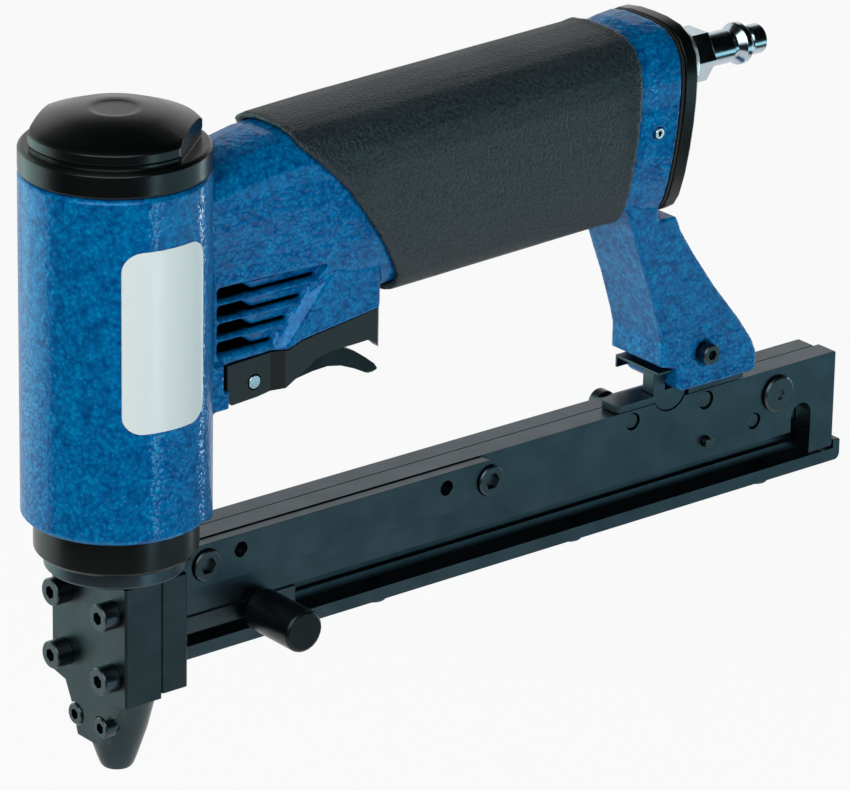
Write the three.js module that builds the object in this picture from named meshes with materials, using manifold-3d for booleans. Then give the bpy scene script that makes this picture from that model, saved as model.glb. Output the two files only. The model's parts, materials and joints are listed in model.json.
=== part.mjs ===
// Pneumatic pin nailer: blue cast body, screwed nose, straight side loading pin magazine.
// Units are millimetres. +X runs rearwards, +Y to the far side, +Z up along the driver.
// The origin is the pin exit at the nose tip.
import * as THREE from 'three';
import { mergeVertices } from 'three/addons/utils/BufferGeometryUtils.js';
import Module from 'manifold-3d';

// Fits
const GAP = 0.3;
const THIN_GAP = 0.15;
const CUT_OVERRUN = 2;
const SEGMENTS_LARGE = 48;
const SEGMENTS_MIDDLE = 24;
const SEGMENTS_SMALL = 16;
const CORNER_STEPS = 6;
const HEX_SIDES = 6;
const WIRE_SIDES = 6;
const VALVE_SPRING_STEPS = 10;
const HALF_SHARE = 0.5;
const THIRD_SHARE = 0.3333;
const SEGMENTS_TINY = 12;

// Head casting
const HEAD_R = 23;
const HEAD_BOTTOM_Z = 67.2;
const HEAD_TOP_Z = 153.9;
const HEAD_EDGE = 0.7;
const HEAD_BORE_R = 19.2;
const WEB_FRONT_X = 4;
const WEB_REAR_X = 22.4;
const WEB_HALF = 10.4;
const WEB_BOTTOM_Z = 62.6;
const WEB_TOP_Z = 151;
const WEB_EDGE = 1.6;
const WEB_COLLAR_CLEAR = 0.5;
const LIP_REAR_X = 24.6;
const LIP_FOOT_REAR_X = 26.1;
const LIP_HALF = 10.2;
const LIP_BOTTOM_Z = 90;
const LIP_STEP_Z = 94.5;
const LIP_TOP_Z = 102;

// Cap on the head
const CAP_RING_R = 23;
const CAP_RING_TOP_Z = 160.5;
const CAP_RING_TOP_R = 22.2;
const CAP_RING_CHAMFER = 0.8;
const CAP_RING_EDGE = 0.35;
const CAP_GROOVE_R = 20.9;
const CAP_GROOVE_TOP_Z = 161.6;
const CAP_DISC_R = 21.3;
const CAP_DISC_TOP_Z = 164.2;
const CAP_SHOULDER_R = 20;
const CAP_SHOULDER_Z = 165.5;
const CAP_DOME_MIDDLE_R = 13;
const CAP_DOME_MIDDLE_Z = 168.1;
const CAP_DOME_INNER_R = 7.2;
const CAP_DOME_TOP_Z = 169.1;
const CAP_DIMPLE_RIM_R = 5.6;
const CAP_DIMPLE_RIM_Z = 168.9;
const CAP_DIMPLE_FLOOR_R = 4.4;
const CAP_DIMPLE_DEPTH = 0.5;
const CAP_SPIGOT_R = 18.8;
const CAP_SPIGOT_BOTTOM_Z = 150.5;
const CAP_SPIGOT_INNER_R = 15.5;
const CAP_FLAT_TURN_SHARE = -0.14;
const CAP_FLAT_OFFSET = 18.4;

// Air engine inside the head
const SLEEVE_OUTER_R = 17;
const SLEEVE_INNER_R = 14;
const SLEEVE_BOTTOM_Z = 70.6;
const SLEEVE_TOP_Z = 147.6;
const SLEEVE_BEAD_R = 18.7;
const SLEEVE_BEAD_LOW_Z = 92;
const SLEEVE_BEAD_HIGH_Z = 96;
const SLEEVE_BEAD_SLOPE = 1.6;
const BUMPER_R = 13.5;
const BUMPER_HOLE_R = 3;
const BUMPER_HEIGHT = 9;
const BUMPER_WAIST_R = 12.2;
const PISTON_R = 13.4;
const PISTON_BOTTOM_Z = 137.4;
const PISTON_HEIGHT = 8.6;
const PISTON_SEAL_GROOVE_R = 11.2;
const PISTON_SEAL_R = 13.7;
const PISTON_SEAL_WIDTH = 2.6;
const PISTON_SEAL_LOW = 3;
const PISTON_DISH_R = 7;
const PISTON_DISH_DEPTH = 2;
const DRIVER_R = 0.8;
const DRIVER_TIP_Z = 57.6;
const DRIVER_COLLAR_R = 2;
const DRIVER_COLLAR_LENGTH = 4;
const DRIVER_HOLE_R = 1.25;
const VALVE_DISC_R = 15;
const VALVE_DISC_Z = 147.9;
const VALVE_DISC_THICK = 2.6;
const VALVE_DISC_BOSS_R = 6;
const VALVE_DISC_BOSS = 1.4;
const CAP_POCKET_Z = 155.2;

// Collar and nose ring
const COLLAR_R = 20;
const COLLAR_BOTTOM_Z = 57.6;
const COLLAR_CHAMFER = 1;
const COLLAR_SPIGOT_R = 18.8;
const COLLAR_SPIGOT_TOP_Z = 70.2;
const RING_R = 17.6;
const RING_BOTTOM_Z = 53.6;
const RING_EDGE = 0.5;

// Nose
const NOSE_FRONT_X = -8.4;
const NOSE_PARTING_X = 2.4;
const NOSE_REAR_X = 10.2;
const NOSE_HALF = 15.3;
const NOSE_EDGE = 0.5;
const NOSE_STEP_Z = 22.4;
const NOSE_NECK_HALF = 9.6;
const NOSE_NECK_Z = 21.3;
const NOSE_THROAT_HALF = 6.9;
const NOSE_THROAT_Z = 15.9;
const NOSE_POINT_HALF = 4.6;
const NOSE_POINT_Z = 8.5;
const NOSE_BLOCK_BOTTOM_Z = 23.4;
const TIP_END_R = 3.7;
const TIP_ROUND_R = 4.2;
const TIP_ROUND_Z = 0.7;
const TIP_LOW_R = 5;
const TIP_LOW_Z = 2.8;
const TIP_MIDDLE_R = 7.5;
const TIP_MIDDLE_Z = 10.4;
const TIP_TOP_R = 10;
const TIP_TOP_Z = 20.5;
const PIN_FEED_HALF = 0.9;
const PIN_FEED_TOP_Z = 52.4;
const PIN_FEED_BOTTOM_Z = 24.6;

// Nose screws
const M4_HEAD_R = 3.5;
const M4_HEAD_HEIGHT = 4.4;
const M4_SHANK_R = 2;
const M4_LENGTH = 16;
const M4_HALF_SPACING = 9.76;
const M4_HIGH_Z = 45.4;
const M4_LOW_Z = 28.8;
const M3_HEAD_R = 2.75;
const M3_HEAD_HEIGHT = 3;
const M3_SHANK_R = 1.5;
const M3_LENGTH = 6;
const SCREW_END_CLEAR = 0.6;
const M3_HALF_SPACING = 5.25;
const M3_Z = 13.7;
const M3_PROUD = 0.5;
const HEAD_EDGE_ROUND = 0.35;

// Magazine
const MAG_FRONT_X = 10.5;
const MAG_NEAR_REAR_X = 229.6;
const MAG_FAR_REAR_X = 227.4;
const MAG_TOP_Z = 56.5;
const MAG_NEAR_Y = -6;
const MAG_FAR_Y = 6.5;
const MAG_PARTING_Y = 0.4;
const MAG_CHANNEL_DEPTH = 0.8;
const MAG_CHANNEL_TOP_Z = 52.4;
const MAG_SLOT_TOP_Z = 37;
const MAG_RAIL_TOP_Z = 28.2;
const MAG_RAIL_BOTTOM_Z = 24.7;
const MAG_RAIL_HALF = 5.2;
const MAG_RAIL_REAR_X = 233.4;
const MAG_RAIL_LIP_Z = 30.6;
const MAG_RAIL_LIP_X = 231;
const MAG_RAIL_ROUND = 1.4;
const MAG_FAR_BOTTOM_Z = 28.5;
const MAG_SLOT_BACK_Y = 1.4;
const MAG_GUIDE_STEP_Z = 31.2;
const MAG_GUIDE_STEP_Y = 0;
const MAG_EDGE = 0.4;
const KEYHOLE_X = 218;
const KEYHOLE_R = 3.5;
const KEYHOLE_Z = 41;
const PLATE_TAIL_X = 221.4;
const PLATE_TAIL_Z = 29.6;

// Bracket strip on the near face of the magazine
const STRIP_OUTER_Y = -9.3;
const STRIP_TOP_Z = 56.2;
const STRIP_BOTTOM_Z = 45.2;
const STRIP_REAR_X = 112;
const STRIP_SCREW_FRONT_X = 20;
const STRIP_SCREW_REAR_X = 109;
const STRIP_SCREW_Z = 50.8;
const STRIP_HOLE_FRONT_X = 30.6;
const STRIP_HOLE_REAR_X = 95;
const STRIP_HOLE_Z = 52.1;
const STRIP_HOLE_R = 2;
const STRIP_CORNER = 3.4;
const STRIP_BORE_R = 4.25;
const M5_HEAD_R = 3.95;
const M5_FACE_Y = -10.3;
const M5_SEAT_Y = -7.5;
const M5_SHANK_R = 2.5;
const M5_LENGTH = 4.6;

// Rail screws from beneath
const RAIL_SCREW_FRONT_X = 81.7;
const RAIL_SCREW_PITCH = 64.5;
const RAIL_SCREW_HEAD_R = 3.3;
const RAIL_SCREW_HEAD_HEIGHT = 3.3;
const RAIL_SCREW_SHANK_R = 1.7;
const RAIL_SCREW_LENGTH = 6;
const RAIL_SCREW_Y = 2.9;

// Pusher
const PUSHER_FRONT_X = 14.5;
const PUSHER_REAR_X = 50;
const PUSHER_TOP_Z = 36.7;
const PUSHER_BOTTOM_Z = 31.5;
const PUSHER_NEAR_Y = -5.9;
const PUSHER_FAR_Y = -0.2;
const PUSHER_EDGE = 0.5;
const PUSHER_BLADE_HALF = 0.3;
const PUSHER_BLADE_Y = 0.05;
const PUSHER_BLADE_TOP_Z = 51.8;
const PUSHER_BLADE_FRONT_X = 11.6;
const PUSHER_BLADE_REAR_X = 30;
const KNOB_X = 38.4;
const KNOB_Z = 33.6;
const KNOB_R = 5.5;
const KNOB_END_Y = -25;
const KNOB_ROOT_Y = -7.2;
const KNOB_EDGE = 0.7;
const KNOB_STUD_R = 1.6;
const KNOB_STUD_END_Y = -1.3;
const FEED_SPRING_X = 46.4;
const FEED_SPRING_Z = 34.1;
const FEED_SPRING_R = 1.9;
const FEED_SPRING_INNER_R = 1.2;
const FEED_SPRING_NEAR_Y = -3.1;
const FEED_SPRING_FAR_Y = -0.9;

// Small pieces at the magazine rear
const DISC_X = 209.1;
const DISC_Z = 49.4;
const DISC_R = 5.1;
const DISC_PROUD = 1.1;
const DISC_HOLE_R = 1.4;
const DISC_SHANK_R = 2;
const REAR_PIN_X = 201.3;
const REAR_PIN_Z = 43.4;
const REAR_PIN_R = 2;
const UPPER_SCREW_X = 184.1;
const UPPER_SCREW_Z = 53.4;
const UPPER_SCREW_R = 2.3;
const LOWER_PIN_X = 184.3;
const LOWER_PIN_Z = 41.9;
const LOWER_PIN_R = 1.3;
const LOWER_PIN_PROUD = 2;
const FRONT_SCREW_X = 159.1;
const FRONT_SCREW_Z = 53.4;
const FRONT_SCREW_R = 2.1;
const STUD_END_Y = -2;
const STUD_HOLE_END_Y = -1.7;
const STUD_SUNK = 0.5;

// Leg of the casting, where the rear end and the hanger are placed from
const LEG_LEFT_X = 152;
const LEG_SPAN = 46;

// Places along the leg, as shares of its span
const POST_NECK_SHARE = 0.38913;
const HANGER_REAR_SHARE = 0.96957;
const TONGUE_FRONT_SHARE = 0.50435;
const TONGUE_REAR_SHARE = 0.91304;
const POST_SHARE = 0.42609;
const BAR_FRONT_SHARE = 0.03478;
const BAR_REAR_SHARE = 0.44783;
const CLIP_FRONT_SHARE = 0.28478;
const CLIP_REAR_SHARE = 0.38261;
const FOOT_SCREW_SHARE = 0.6;
const HANDLE_REAR_SHARE = 0.21957;
function alongLeg(share) {
  return LEG_LEFT_X + LEG_SPAN * share;
}
const POST_NECK_X = alongLeg(POST_NECK_SHARE);
const HANGER_REAR_X = alongLeg(HANGER_REAR_SHARE);
const TONGUE_FRONT_X = alongLeg(TONGUE_FRONT_SHARE);
const TONGUE_REAR_X = alongLeg(TONGUE_REAR_SHARE);
const POST_X = alongLeg(POST_SHARE);
const BAR_FRONT_X = alongLeg(BAR_FRONT_SHARE);
const BAR_REAR_X = alongLeg(BAR_REAR_SHARE);
const CLIP_FRONT_X = alongLeg(CLIP_FRONT_SHARE);
const CLIP_REAR_X = alongLeg(CLIP_REAR_SHARE);
const FOOT_SCREW_X = alongLeg(FOOT_SCREW_SHARE);
const HANDLE_REAR_X = alongLeg(HANDLE_REAR_SHARE);

// Hanger between magazine and leg
const HANGER_TOP_Z = 59.75;
const HANGER_BOTTOM_Z = 56.8;
const HANGER_HALF = 6.2;
const TONGUE_HALF = 3;
const TONGUE_TOP_Z = 74.5;
const FOOT_SLOT_HALF = 3.3;
const POST_R = 5.6;
const POST_Z = 59.3;
const POST_NEAR_Y = -5.8;
const POST_FAR_Y = -1.5;
const HANGER_FRONT_X = POST_X + POST_R + GAP + GAP;
const BAR_BOTTOM_Z = 56.8;
const BAR_TOP_Z = 58.8;
const BAR_NEAR_Y = -6.2;
const BAR_FAR_Y = 1;
const BAR_EDGE = 1;
const FAR_SCREW_X = 160.5;
const FAR_SCREW_Z = 54;
const FAR_SCREW_HEAD_R = 3.4;
const FAR_SCREW_HEAD = 3;
const FAR_SCREW_SHANK_R = 1.9;
const FAR_SCREW_LENGTH = 4;
const CLIP_NEAR_Y = -8.4;
const CLIP_FAR_Y = 8.4;
const CLIP_TOP_Z = 66;
const CLIP_THICK = 0.7;
const CLIP_CURL = 3.4;

// Leg and foot of the casting
const LEG_HALF = 10;
const LEG_EDGE = 1.4;
const LEG_CORNER = 2.1;
const LEG_LOW_Z = 59.9;
const LEG_RISE = 66;
const FOOT_SCREW_Z = 69;
const FOOT_BORE_R = 3.3;
const FOOT_BORE_DEPTH = 0.8;
const FOOT_SCREW_HEAD_R = 2.75;
const FOOT_SCREW_HEAD = 3.6;
const FOOT_SCREW_SHANK_R = 1.8;
const FOOT_SCREW_LENGTH = 14.6;

// Neck, handle and rubber sleeve
const SLEEVE_REAR_X = 149.4;
const SLEEVE_FRONT_TOP_X = 44.6;
const SLEEVE_FRONT_LOW_X = 76.4;
const SLEEVE_CUT_HIGH_Z = 175;
const SLEEVE_CUT_LOW_Z = 95;
const NECK_BLOCK_FRONT_X = 20;
const NECK_BLOCK_REAR_X = 72.3;
const NECK_BLOCK_TOP_Z = 130;
const NECK_THIN_HALF = 9.2;
const NECK_WIDE_HALF = 11.2;
const NECK_FLARE = 3.2;
const NECK_SPLIT_LOW_X = 36.3;
const NECK_SPLIT_HIGH_X = 57;
const NECK_BOTTOM_Z = 101;
const NECK_BOTTOM_MIDDLE_X = 43.6;
const NECK_BOTTOM_MIDDLE_Z = 101.8;
const NECK_BOTTOM_STEP_X = 47.6;
const NECK_BOTTOM_STEP_Z = 103.2;
const NECK_BOTTOM_REAR_Z = 106.6;
const SLOT_COUNT = 4;
const SLOT_TOP_Z = 121.2;
const SLOT_HEIGHT = 3.7;
const SLOT_PITCH = 4.6;
const SLOT_FRONT_X = 23.4;
const SLOT_REAR_TOP_X = 55.8;
const SLOT_REAR_STEP = 4.3;
const SLOT_END_SLANT = 2.8;
const SLOT_DEEP_Y = 4.4;
const SLOT_OPEN_LENGTH = 7;
const SLOT_OPEN_SLANT = 5.5;
const SLOT_GROOVE = 1;
const SLOT_GROOVE_Y = 5.6;
const SLOT_FACE_LOW_Y = 7.4;
const SLOT_FACE_HIGH_Y = 9;
const SLOT_OUTER_Y = 16;

// Trigger group
const BLOCK_FRONT_X = 26.4;
const BLOCK_SPLIT_X = 39.4;
const BLOCK_REAR_X = 72.3;
const BLOCK_HALF = 9;
const BLOCK_REAR_HALF = 10.8;
const BLOCK_CHANNEL_HALF = 7.2;
const BLOCK_CEILING_Z = 101.4;
const BLOCK_CEILING_FRONT_Z = 99.3;
const BLOCK_CEILING_MIDDLE_X = 50;
const BLOCK_CEILING_MIDDLE_Z = 99.9;
const BLOCK_CEILING_REAR_X = 60;
const BLOCK_CHANNEL_FRONT_X = 28;
const BLOCK_CHANNEL_REAR_X = 76;
const TRIGGER_PIN_X = 34.6;
const TRIGGER_PIN_Z = 94.8;
const TRIGGER_PIN_R = 1.75;
const TRIGGER_PIN_HALF = 9.2;
const TRIGGER_HALF = 6.8;
const TRIGGER_EDGE = 0.7;
const VALVE_X = 58;
const VALVE_BORE_R = 5.3;
const VALVE_BODY_R = 5;
const VALVE_BODY_BOTTOM_Z = 102.4;
const VALVE_BODY_TOP_Z = 121;
const VALVE_BODY_BORE_R = 2.9;
const VALVE_BODY_GLAND_R = 1.7;
const VALVE_BODY_CEILING_Z = 118.2;
const VALVE_BODY_FLOOR_Z = 105;
const VALVE_STEM_R = 1.35;
const VALVE_STEM_BOTTOM_Z = 97.7;
const VALVE_STEM_HOLE_R = 1.7;
const VALVE_STEM_TOP_Z = 113;
const VALVE_HEAD_R = 2.5;
const VALVE_HEAD_LOW_Z = 105.6;
const VALVE_HEAD_HIGH_Z = 107.4;
const VALVE_SPRING_WIRE_R = 0.28;
const VALVE_SPRING_R = 2.1;
const VALVE_SPRING_LOW_Z = 107.8;
const VALVE_SPRING_HIGH_Z = 117.6;
const VALVE_SPRING_TURNS = 6;

// Rear end
const GASKET_THICK = 0.8;
const END_CAP_THICK = 4.5;
const END_CAP_FRONT_X = HANDLE_REAR_X + GAP + GASKET_THICK + GAP;
const END_CAP_REAR_X = END_CAP_FRONT_X + END_CAP_THICK;
const END_CAP_EDGE = 0.9;
const ROLL_PIN_X = 156.4;
const ROLL_PIN_Z = 134.8;
const ROLL_PIN_R = 1.5;
const ROLL_PIN_BORE_R = 0.6;
const ROLL_PIN_DEPTH = 8;
const INLET_Z = 146.7;
const FLANGE_LENGTH = 7.2;
const FLANGE_REAR_X = END_CAP_REAR_X + FLANGE_LENGTH;
const FLANGE_R = 10.4;
const FLANGE_REAR_R = 9;
const FLANGE_HOLE_R = 5.2;
const NIPPLE_HEX_LENGTH = 6.8;
const NIPPLE_HEX_FRONT_X = FLANGE_REAR_X + GAP;
const NIPPLE_HEX_REAR_X = NIPPLE_HEX_FRONT_X + NIPPLE_HEX_LENGTH;
const NIPPLE_HEX_R = 7.4;
const NIPPLE_SHANK_R = 4.8;
const NIPPLE_SHANK_INSIDE = 3;
const NIPPLE_SHANK_FRONT_X = END_CAP_REAR_X - NIPPLE_SHANK_INSIDE;
const NIPPLE_STEM_R = 4.4;
const NIPPLE_STEM_REAR_REACH = 9.1;
const NIPPLE_STEM_REAR_X = NIPPLE_HEX_REAR_X + NIPPLE_STEM_REAR_REACH;
const NIPPLE_WAIST_R = 3.6;
const NIPPLE_WAIST_REAR_REACH = 10.7;
const NIPPLE_WAIST_REAR_X = NIPPLE_HEX_REAR_X + NIPPLE_WAIST_REAR_REACH;
const NIPPLE_COLLAR_R = 5.5;
const NIPPLE_COLLAR_FRONT_REACH = 12.3;
const NIPPLE_COLLAR_FRONT_X = NIPPLE_HEX_REAR_X + NIPPLE_COLLAR_FRONT_REACH;
const NIPPLE_COLLAR_REAR_REACH = 13.9;
const NIPPLE_COLLAR_REAR_X = NIPPLE_HEX_REAR_X + NIPPLE_COLLAR_REAR_REACH;
const NIPPLE_GROOVE_R = 3.4;
const NIPPLE_GROOVE_REACH = 15.5;
const NIPPLE_GROOVE_X = NIPPLE_HEX_REAR_X + NIPPLE_GROOVE_REACH;
const NIPPLE_TIP_R = 3.9;
const NIPPLE_TIP_FRONT_REACH = 16.3;
const NIPPLE_TIP_FRONT_X = NIPPLE_HEX_REAR_X + NIPPLE_TIP_FRONT_REACH;
const NIPPLE_TIP_REAR_REACH = 20.1;
const NIPPLE_TIP_REAR_X = NIPPLE_HEX_REAR_X + NIPPLE_TIP_REAR_REACH;
const NIPPLE_TIP_END_R = 3.2;
const NIPPLE_END_REACH = 20.7;
const NIPPLE_END_X = NIPPLE_HEX_REAR_X + NIPPLE_END_REACH;
const NIPPLE_BORE_R = 2.5;

// Label plate, bare
const LABEL_LOW_Z = 95.6;
const LABEL_HIGH_Z = 141;
const LABEL_THICK = 0.3;
const LABEL_FROM_SHARE = -0.3415;
const LABEL_TO_SHARE = -0.1785;
const LABEL_CORNER = 4.6;

// Half outline of the handle section from bottom to top, shares of half width and height
const EGG_SHARES = [
  [0, 0], [0.3, 0.004], [0.52, 0.035], [0.66, 0.09], [0.8, 0.23], [0.91, 0.41],
  [0.975, 0.58], [1, 0.74], [0.94, 0.875], [0.72, 0.962], [0.38, 0.994], [0, 1],
];
const NECK_SHARES = [
  [0, 0], [0.28, 0.002], [0.46, 0.02], [0.6, 0.06], [0.7, 0.2], [0.77, 0.38],
  [0.87, 0.56], [0.97, 0.75], [0.94, 0.875], [0.72, 0.962], [0.38, 0.994], [0, 1],
];
// Stations along the casting as shares of its span: place, top, bottom, half width, and egg share
const CAST_FRONT_X = 8;
const CAST_SPAN = 142;
const CAST_TOP_START_Z = 149;
const CAST_TOP_RISE = 9.9;
const CAST_LOW_START_Z = 109.2;
const CAST_LOW_RISE = 2.8;
const CAST_FULL_HALF = 15.1;
const CAST_X_SHARES = [0, 0.0915, 0.162, 0.2254, 0.2817, 0.338, 0.3944, 0.4648, 0.6479, 1];
const CAST_TOP_SHARES = [0, 0.1616, 0.4444, 0.6162, 0.6566, 0.6869, 0.7172, 0.7475, 0.8384, 1];
const CAST_LOW_SHARES = [1, 1, 0.857, 0.643, 0.4286, 0.214, 0.071, 0, 0.25, 0.786];
const CAST_HALF_SHARES = [0.834, 0.848, 0.887, 0.927, 0.954, 0.98, 1, 1, 1, 1];
const CAST_EGG_SHARES = [0, 0, 0, 0.1, 0.3, 0.6, 0.9, 1, 1, 1];
const HALF_OUTLINE_STEPS = 14;
// The flare at the rear end and the rubber sleeve grow out of the same section
const TAIL_FRONT_X = 150;
const TAIL_SWELL = 1.9;
const TAIL_X_SHARES = [0, 0.25, 0.5, 1];
const TAIL_SWELL_SHARES = [0, 0.26, 0.74, 1];
const GRIP_FRONT_X = 40;
const GRIP_THICK = 1.9;
const GRIP_X_SHARES = [0, 0.11, 0.2194, 0.3108, 0.5484, 0.9735, 0.9872, 1];
const GRIP_THICK_SHARES = [1, 1, 1, 1, 1, 1, 1.16, 1.16];
const GRIP_CUT_LOW_Z = 113.6;
const GRIP_CUT_RISE = 40;
const GRIP_CUT_SHARES = [[0, 1], [0.396, 0.685], [0.7547, 0.3025], [1, 0]];

// Side outlines as shares of the spans named above
const NECK_RIDGE_SHARES = [[0, 0], [0.26, 0.18], [0.72, 0.54], [0.93, 0.68], [1, 0.82], [1, 1]];
const LEG_OUTLINE_SHARES = [
  [0, 1], [0, 0.8], [0.02, 0.745], [0.048, 0.7], [0.109, 0.58], [0.18, 0.4515], [0.2565, 0.2879],
  [0.2804, 0.2212], [0.2804, 0.1227], [0.3957, 0.1015], [0.4, 0.0212], [0.4326, 0], [0.968, 0],
  [0.988, 0.016], [0.987, 0.08], [0.952, 0.136], [0.852, 0.235], [0.654, 0.4045],
  [0.487, 0.567], [0.391, 0.671], [0.352, 0.735], [0.2196, 0.738], [0.2065, 1],
];
const TRIGGER_SPAN = 46.4;
const TRIGGER_RISE = 11.6;
const TRIGGER_LEFT_X = 28.4;
const TRIGGER_LOW_Z = 87.4;
const TRIGGER_OUTLINE_SHARES = [
  [0.012, 0.2], [0.13, 0.2], [0.27, 0.26], [0.42, 0.34], [0.55, 0.42], [0.65, 0.44],
  [0.74, 0.37], [0.83, 0.22], [0.905, 0.06], [0.935, 0], [0.965, 0], [0.985, 0.09],
  [0.965, 0.21], [0.9, 0.42], [0.83, 0.62], [0.76, 0.76], [0.69, 0.84], [0.6, 0.87],
  [0.4, 0.87], [0.2, 0.94], [0.1, 0.92], [0.02, 0.7], [0, 0.4],
];
const BLOCK_SPAN = 45.9;
const BLOCK_RISE = 16.4;
const BLOCK_LOW_Z = 90.2;
const BLOCK_LOWER_SHARES = [
  [0.03, 0], [0.2, 0.03], [0.36, 0.1], [0.47, 0.27], [0.56, 0.43], [0.66, 0.49],
  [0.8, 0.49], [0.91, 0.5], [0.965, 0.4], [1, 0.31],
];
const BLOCK_FRONT_SHARE = 0.14;

const wasm = await Module();
wasm.setup();

function toSolid(geometry) {
  let g = geometry.clone();
  for (const name of ['normal', 'uv']) {
    if (g.getAttribute(name)) g.deleteAttribute(name);
  }
  g = mergeVertices(g, GAP / SEGMENTS_LARGE / SEGMENTS_LARGE);
  const vertProperties = new Float32Array(g.getAttribute('position').array);
  const triVerts = new Uint32Array(g.getIndex().array);
  return new wasm.Manifold(new wasm.Mesh({ numProp: 3, vertProperties, triVerts }));
}

function toGeometry(solid) {
  const mesh = solid.getMesh();
  const g = new THREE.BufferGeometry();
  g.setAttribute('position', new THREE.BufferAttribute(new Float32Array(mesh.vertProperties), 3));
  g.setIndex(new THREE.BufferAttribute(new Uint32Array(mesh.triVerts), 1));
  return g;
}

// Straight prism of a closed outline, in y,z for axis x, in x,z for axis y and in x,y for axis z.
function prism(axis, outline, from, to, holes = []) {
  const shape = new THREE.Shape(outline.map(([a, b]) => new THREE.Vector2(a, b)));
  for (const hole of holes) {
    shape.holes.push(new THREE.Path(hole.map(([a, b]) => new THREE.Vector2(a, b))));
  }
  const g = new THREE.ExtrudeGeometry(shape, { depth: to - from, bevelEnabled: false, curveSegments: 1 });
  const m = new THREE.Matrix4();
  if (axis === 'x') m.set(0, 0, 1, from, 1, 0, 0, 0, 0, 1, 0, 0, 0, 0, 0, 1);
  if (axis === 'y') m.set(1, 0, 0, 0, 0, 0, 1, from, 0, 1, 0, 0, 0, 0, 0, 1);
  if (axis === 'z') m.set(1, 0, 0, 0, 0, 1, 0, 0, 0, 0, 1, from, 0, 0, 0, 1);
  g.applyMatrix4(m);
  if (m.determinant() < 0) flip(g);
  return toSolid(g);
}

function flip(g) {
  const p = g.getAttribute('position').array;
  for (let i = 0; i < p.length; i += 9) {
    for (let k = 0; k < 3; k += 1) {
      const keep = p[i + 3 + k];
      p[i + 3 + k] = p[i + 6 + k];
      p[i + 6 + k] = keep;
    }
  }
}

function box(x0, x1, y0, y1, z0, z1) {
  return prism('z', [[x0, y0], [x1, y0], [x1, y1], [x0, y1]], z0, z1);
}

// Outline of a rectangle with cut corners.
function cutRect(a0, a1, b0, b1, cut) {
  return [
    [a0 + cut, b0], [a1 - cut, b0], [a1, b0 + cut], [a1, b1 - cut],
    [a1 - cut, b1], [a0 + cut, b1], [a0, b1 - cut], [a0, b0 + cut],
  ];
}

// Outline of a rectangle with round corners.
function roundRect(a0, a1, b0, b1, r, steps) {
  const points = [];
  const corners = [[a1 - r, b1 - r, 0], [a0 + r, b1 - r, 1], [a0 + r, b0 + r, 2], [a1 - r, b0 + r, 3]];
  for (const [ca, cb, quarter] of corners) {
    for (let i = 0; i <= steps; i += 1) {
      const t = (quarter + i / steps) * Math.PI / 2;
      points.push([ca + r * Math.cos(t), cb + r * Math.sin(t)]);
    }
  }
  return points;
}

function circle(a, b, r, steps) {
  const points = [];
  for (let i = 0; i < steps; i += 1) {
    const t = (i / steps) * 2 * Math.PI;
    points.push([a + r * Math.cos(t), b + r * Math.sin(t)]);
  }
  return points;
}

// Turned body about an axis. profile rows are [radius, place along the axis].
function turned(axis, profile, steps, a = 0, b = 0) {
  const closed = profile[0][0] !== 0 || profile[profile.length - 1][0] !== 0;
  const rows = closed ? [...profile, profile[0]] : profile;
  const g = new THREE.LatheGeometry(rows.map(([r, h]) => new THREE.Vector2(r, h)), steps);
  const m = new THREE.Matrix4();
  if (axis === 'z') m.set(1, 0, 0, a, 0, 0, 1, b, 0, 1, 0, 0, 0, 0, 0, 1);
  if (axis === 'y') m.set(1, 0, 0, a, 0, 1, 0, 0, 0, 0, -1, b, 0, 0, 0, 1);
  if (axis === 'x') m.set(0, 1, 0, 0, 0, 0, 1, a, 1, 0, 0, b, 0, 0, 0, 1);
  g.applyMatrix4(m);
  const flat = g.toNonIndexed();
  flat.deleteAttribute('normal');
  flat.deleteAttribute('uv');
  if (signedVolume(flat) < 0) flip(flat);
  return toSolid(dropSlivers(flat));
}

function signedVolume(g) {
  const p = g.getAttribute('position').array;
  let sum = 0;
  for (let i = 0; i < p.length; i += 9) {
    sum += p[i] * (p[i + 4] * p[i + 8] - p[i + 5] * p[i + 7])
      - p[i + 1] * (p[i + 3] * p[i + 8] - p[i + 5] * p[i + 6])
      + p[i + 2] * (p[i + 3] * p[i + 7] - p[i + 4] * p[i + 6]);
  }
  return sum;
}

// Triangles that close to a line at the turning axis are left out.
function dropSlivers(g) {
  const p = g.getAttribute('position').array;
  const kept = [];
  const same = (i, j) => Math.hypot(p[i] - p[j], p[i + 1] - p[j + 1], p[i + 2] - p[j + 2]) < GAP / 1e4;
  for (let i = 0; i < p.length; i += 9) {
    if (same(i, i + 3) || same(i + 3, i + 6) || same(i, i + 6)) continue;
    for (let k = 0; k < 9; k += 1) kept.push(p[i + k]);
  }
  const out = new THREE.BufferGeometry();
  out.setAttribute('position', new THREE.BufferAttribute(new Float32Array(kept), 3));
  return out;
}

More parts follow.
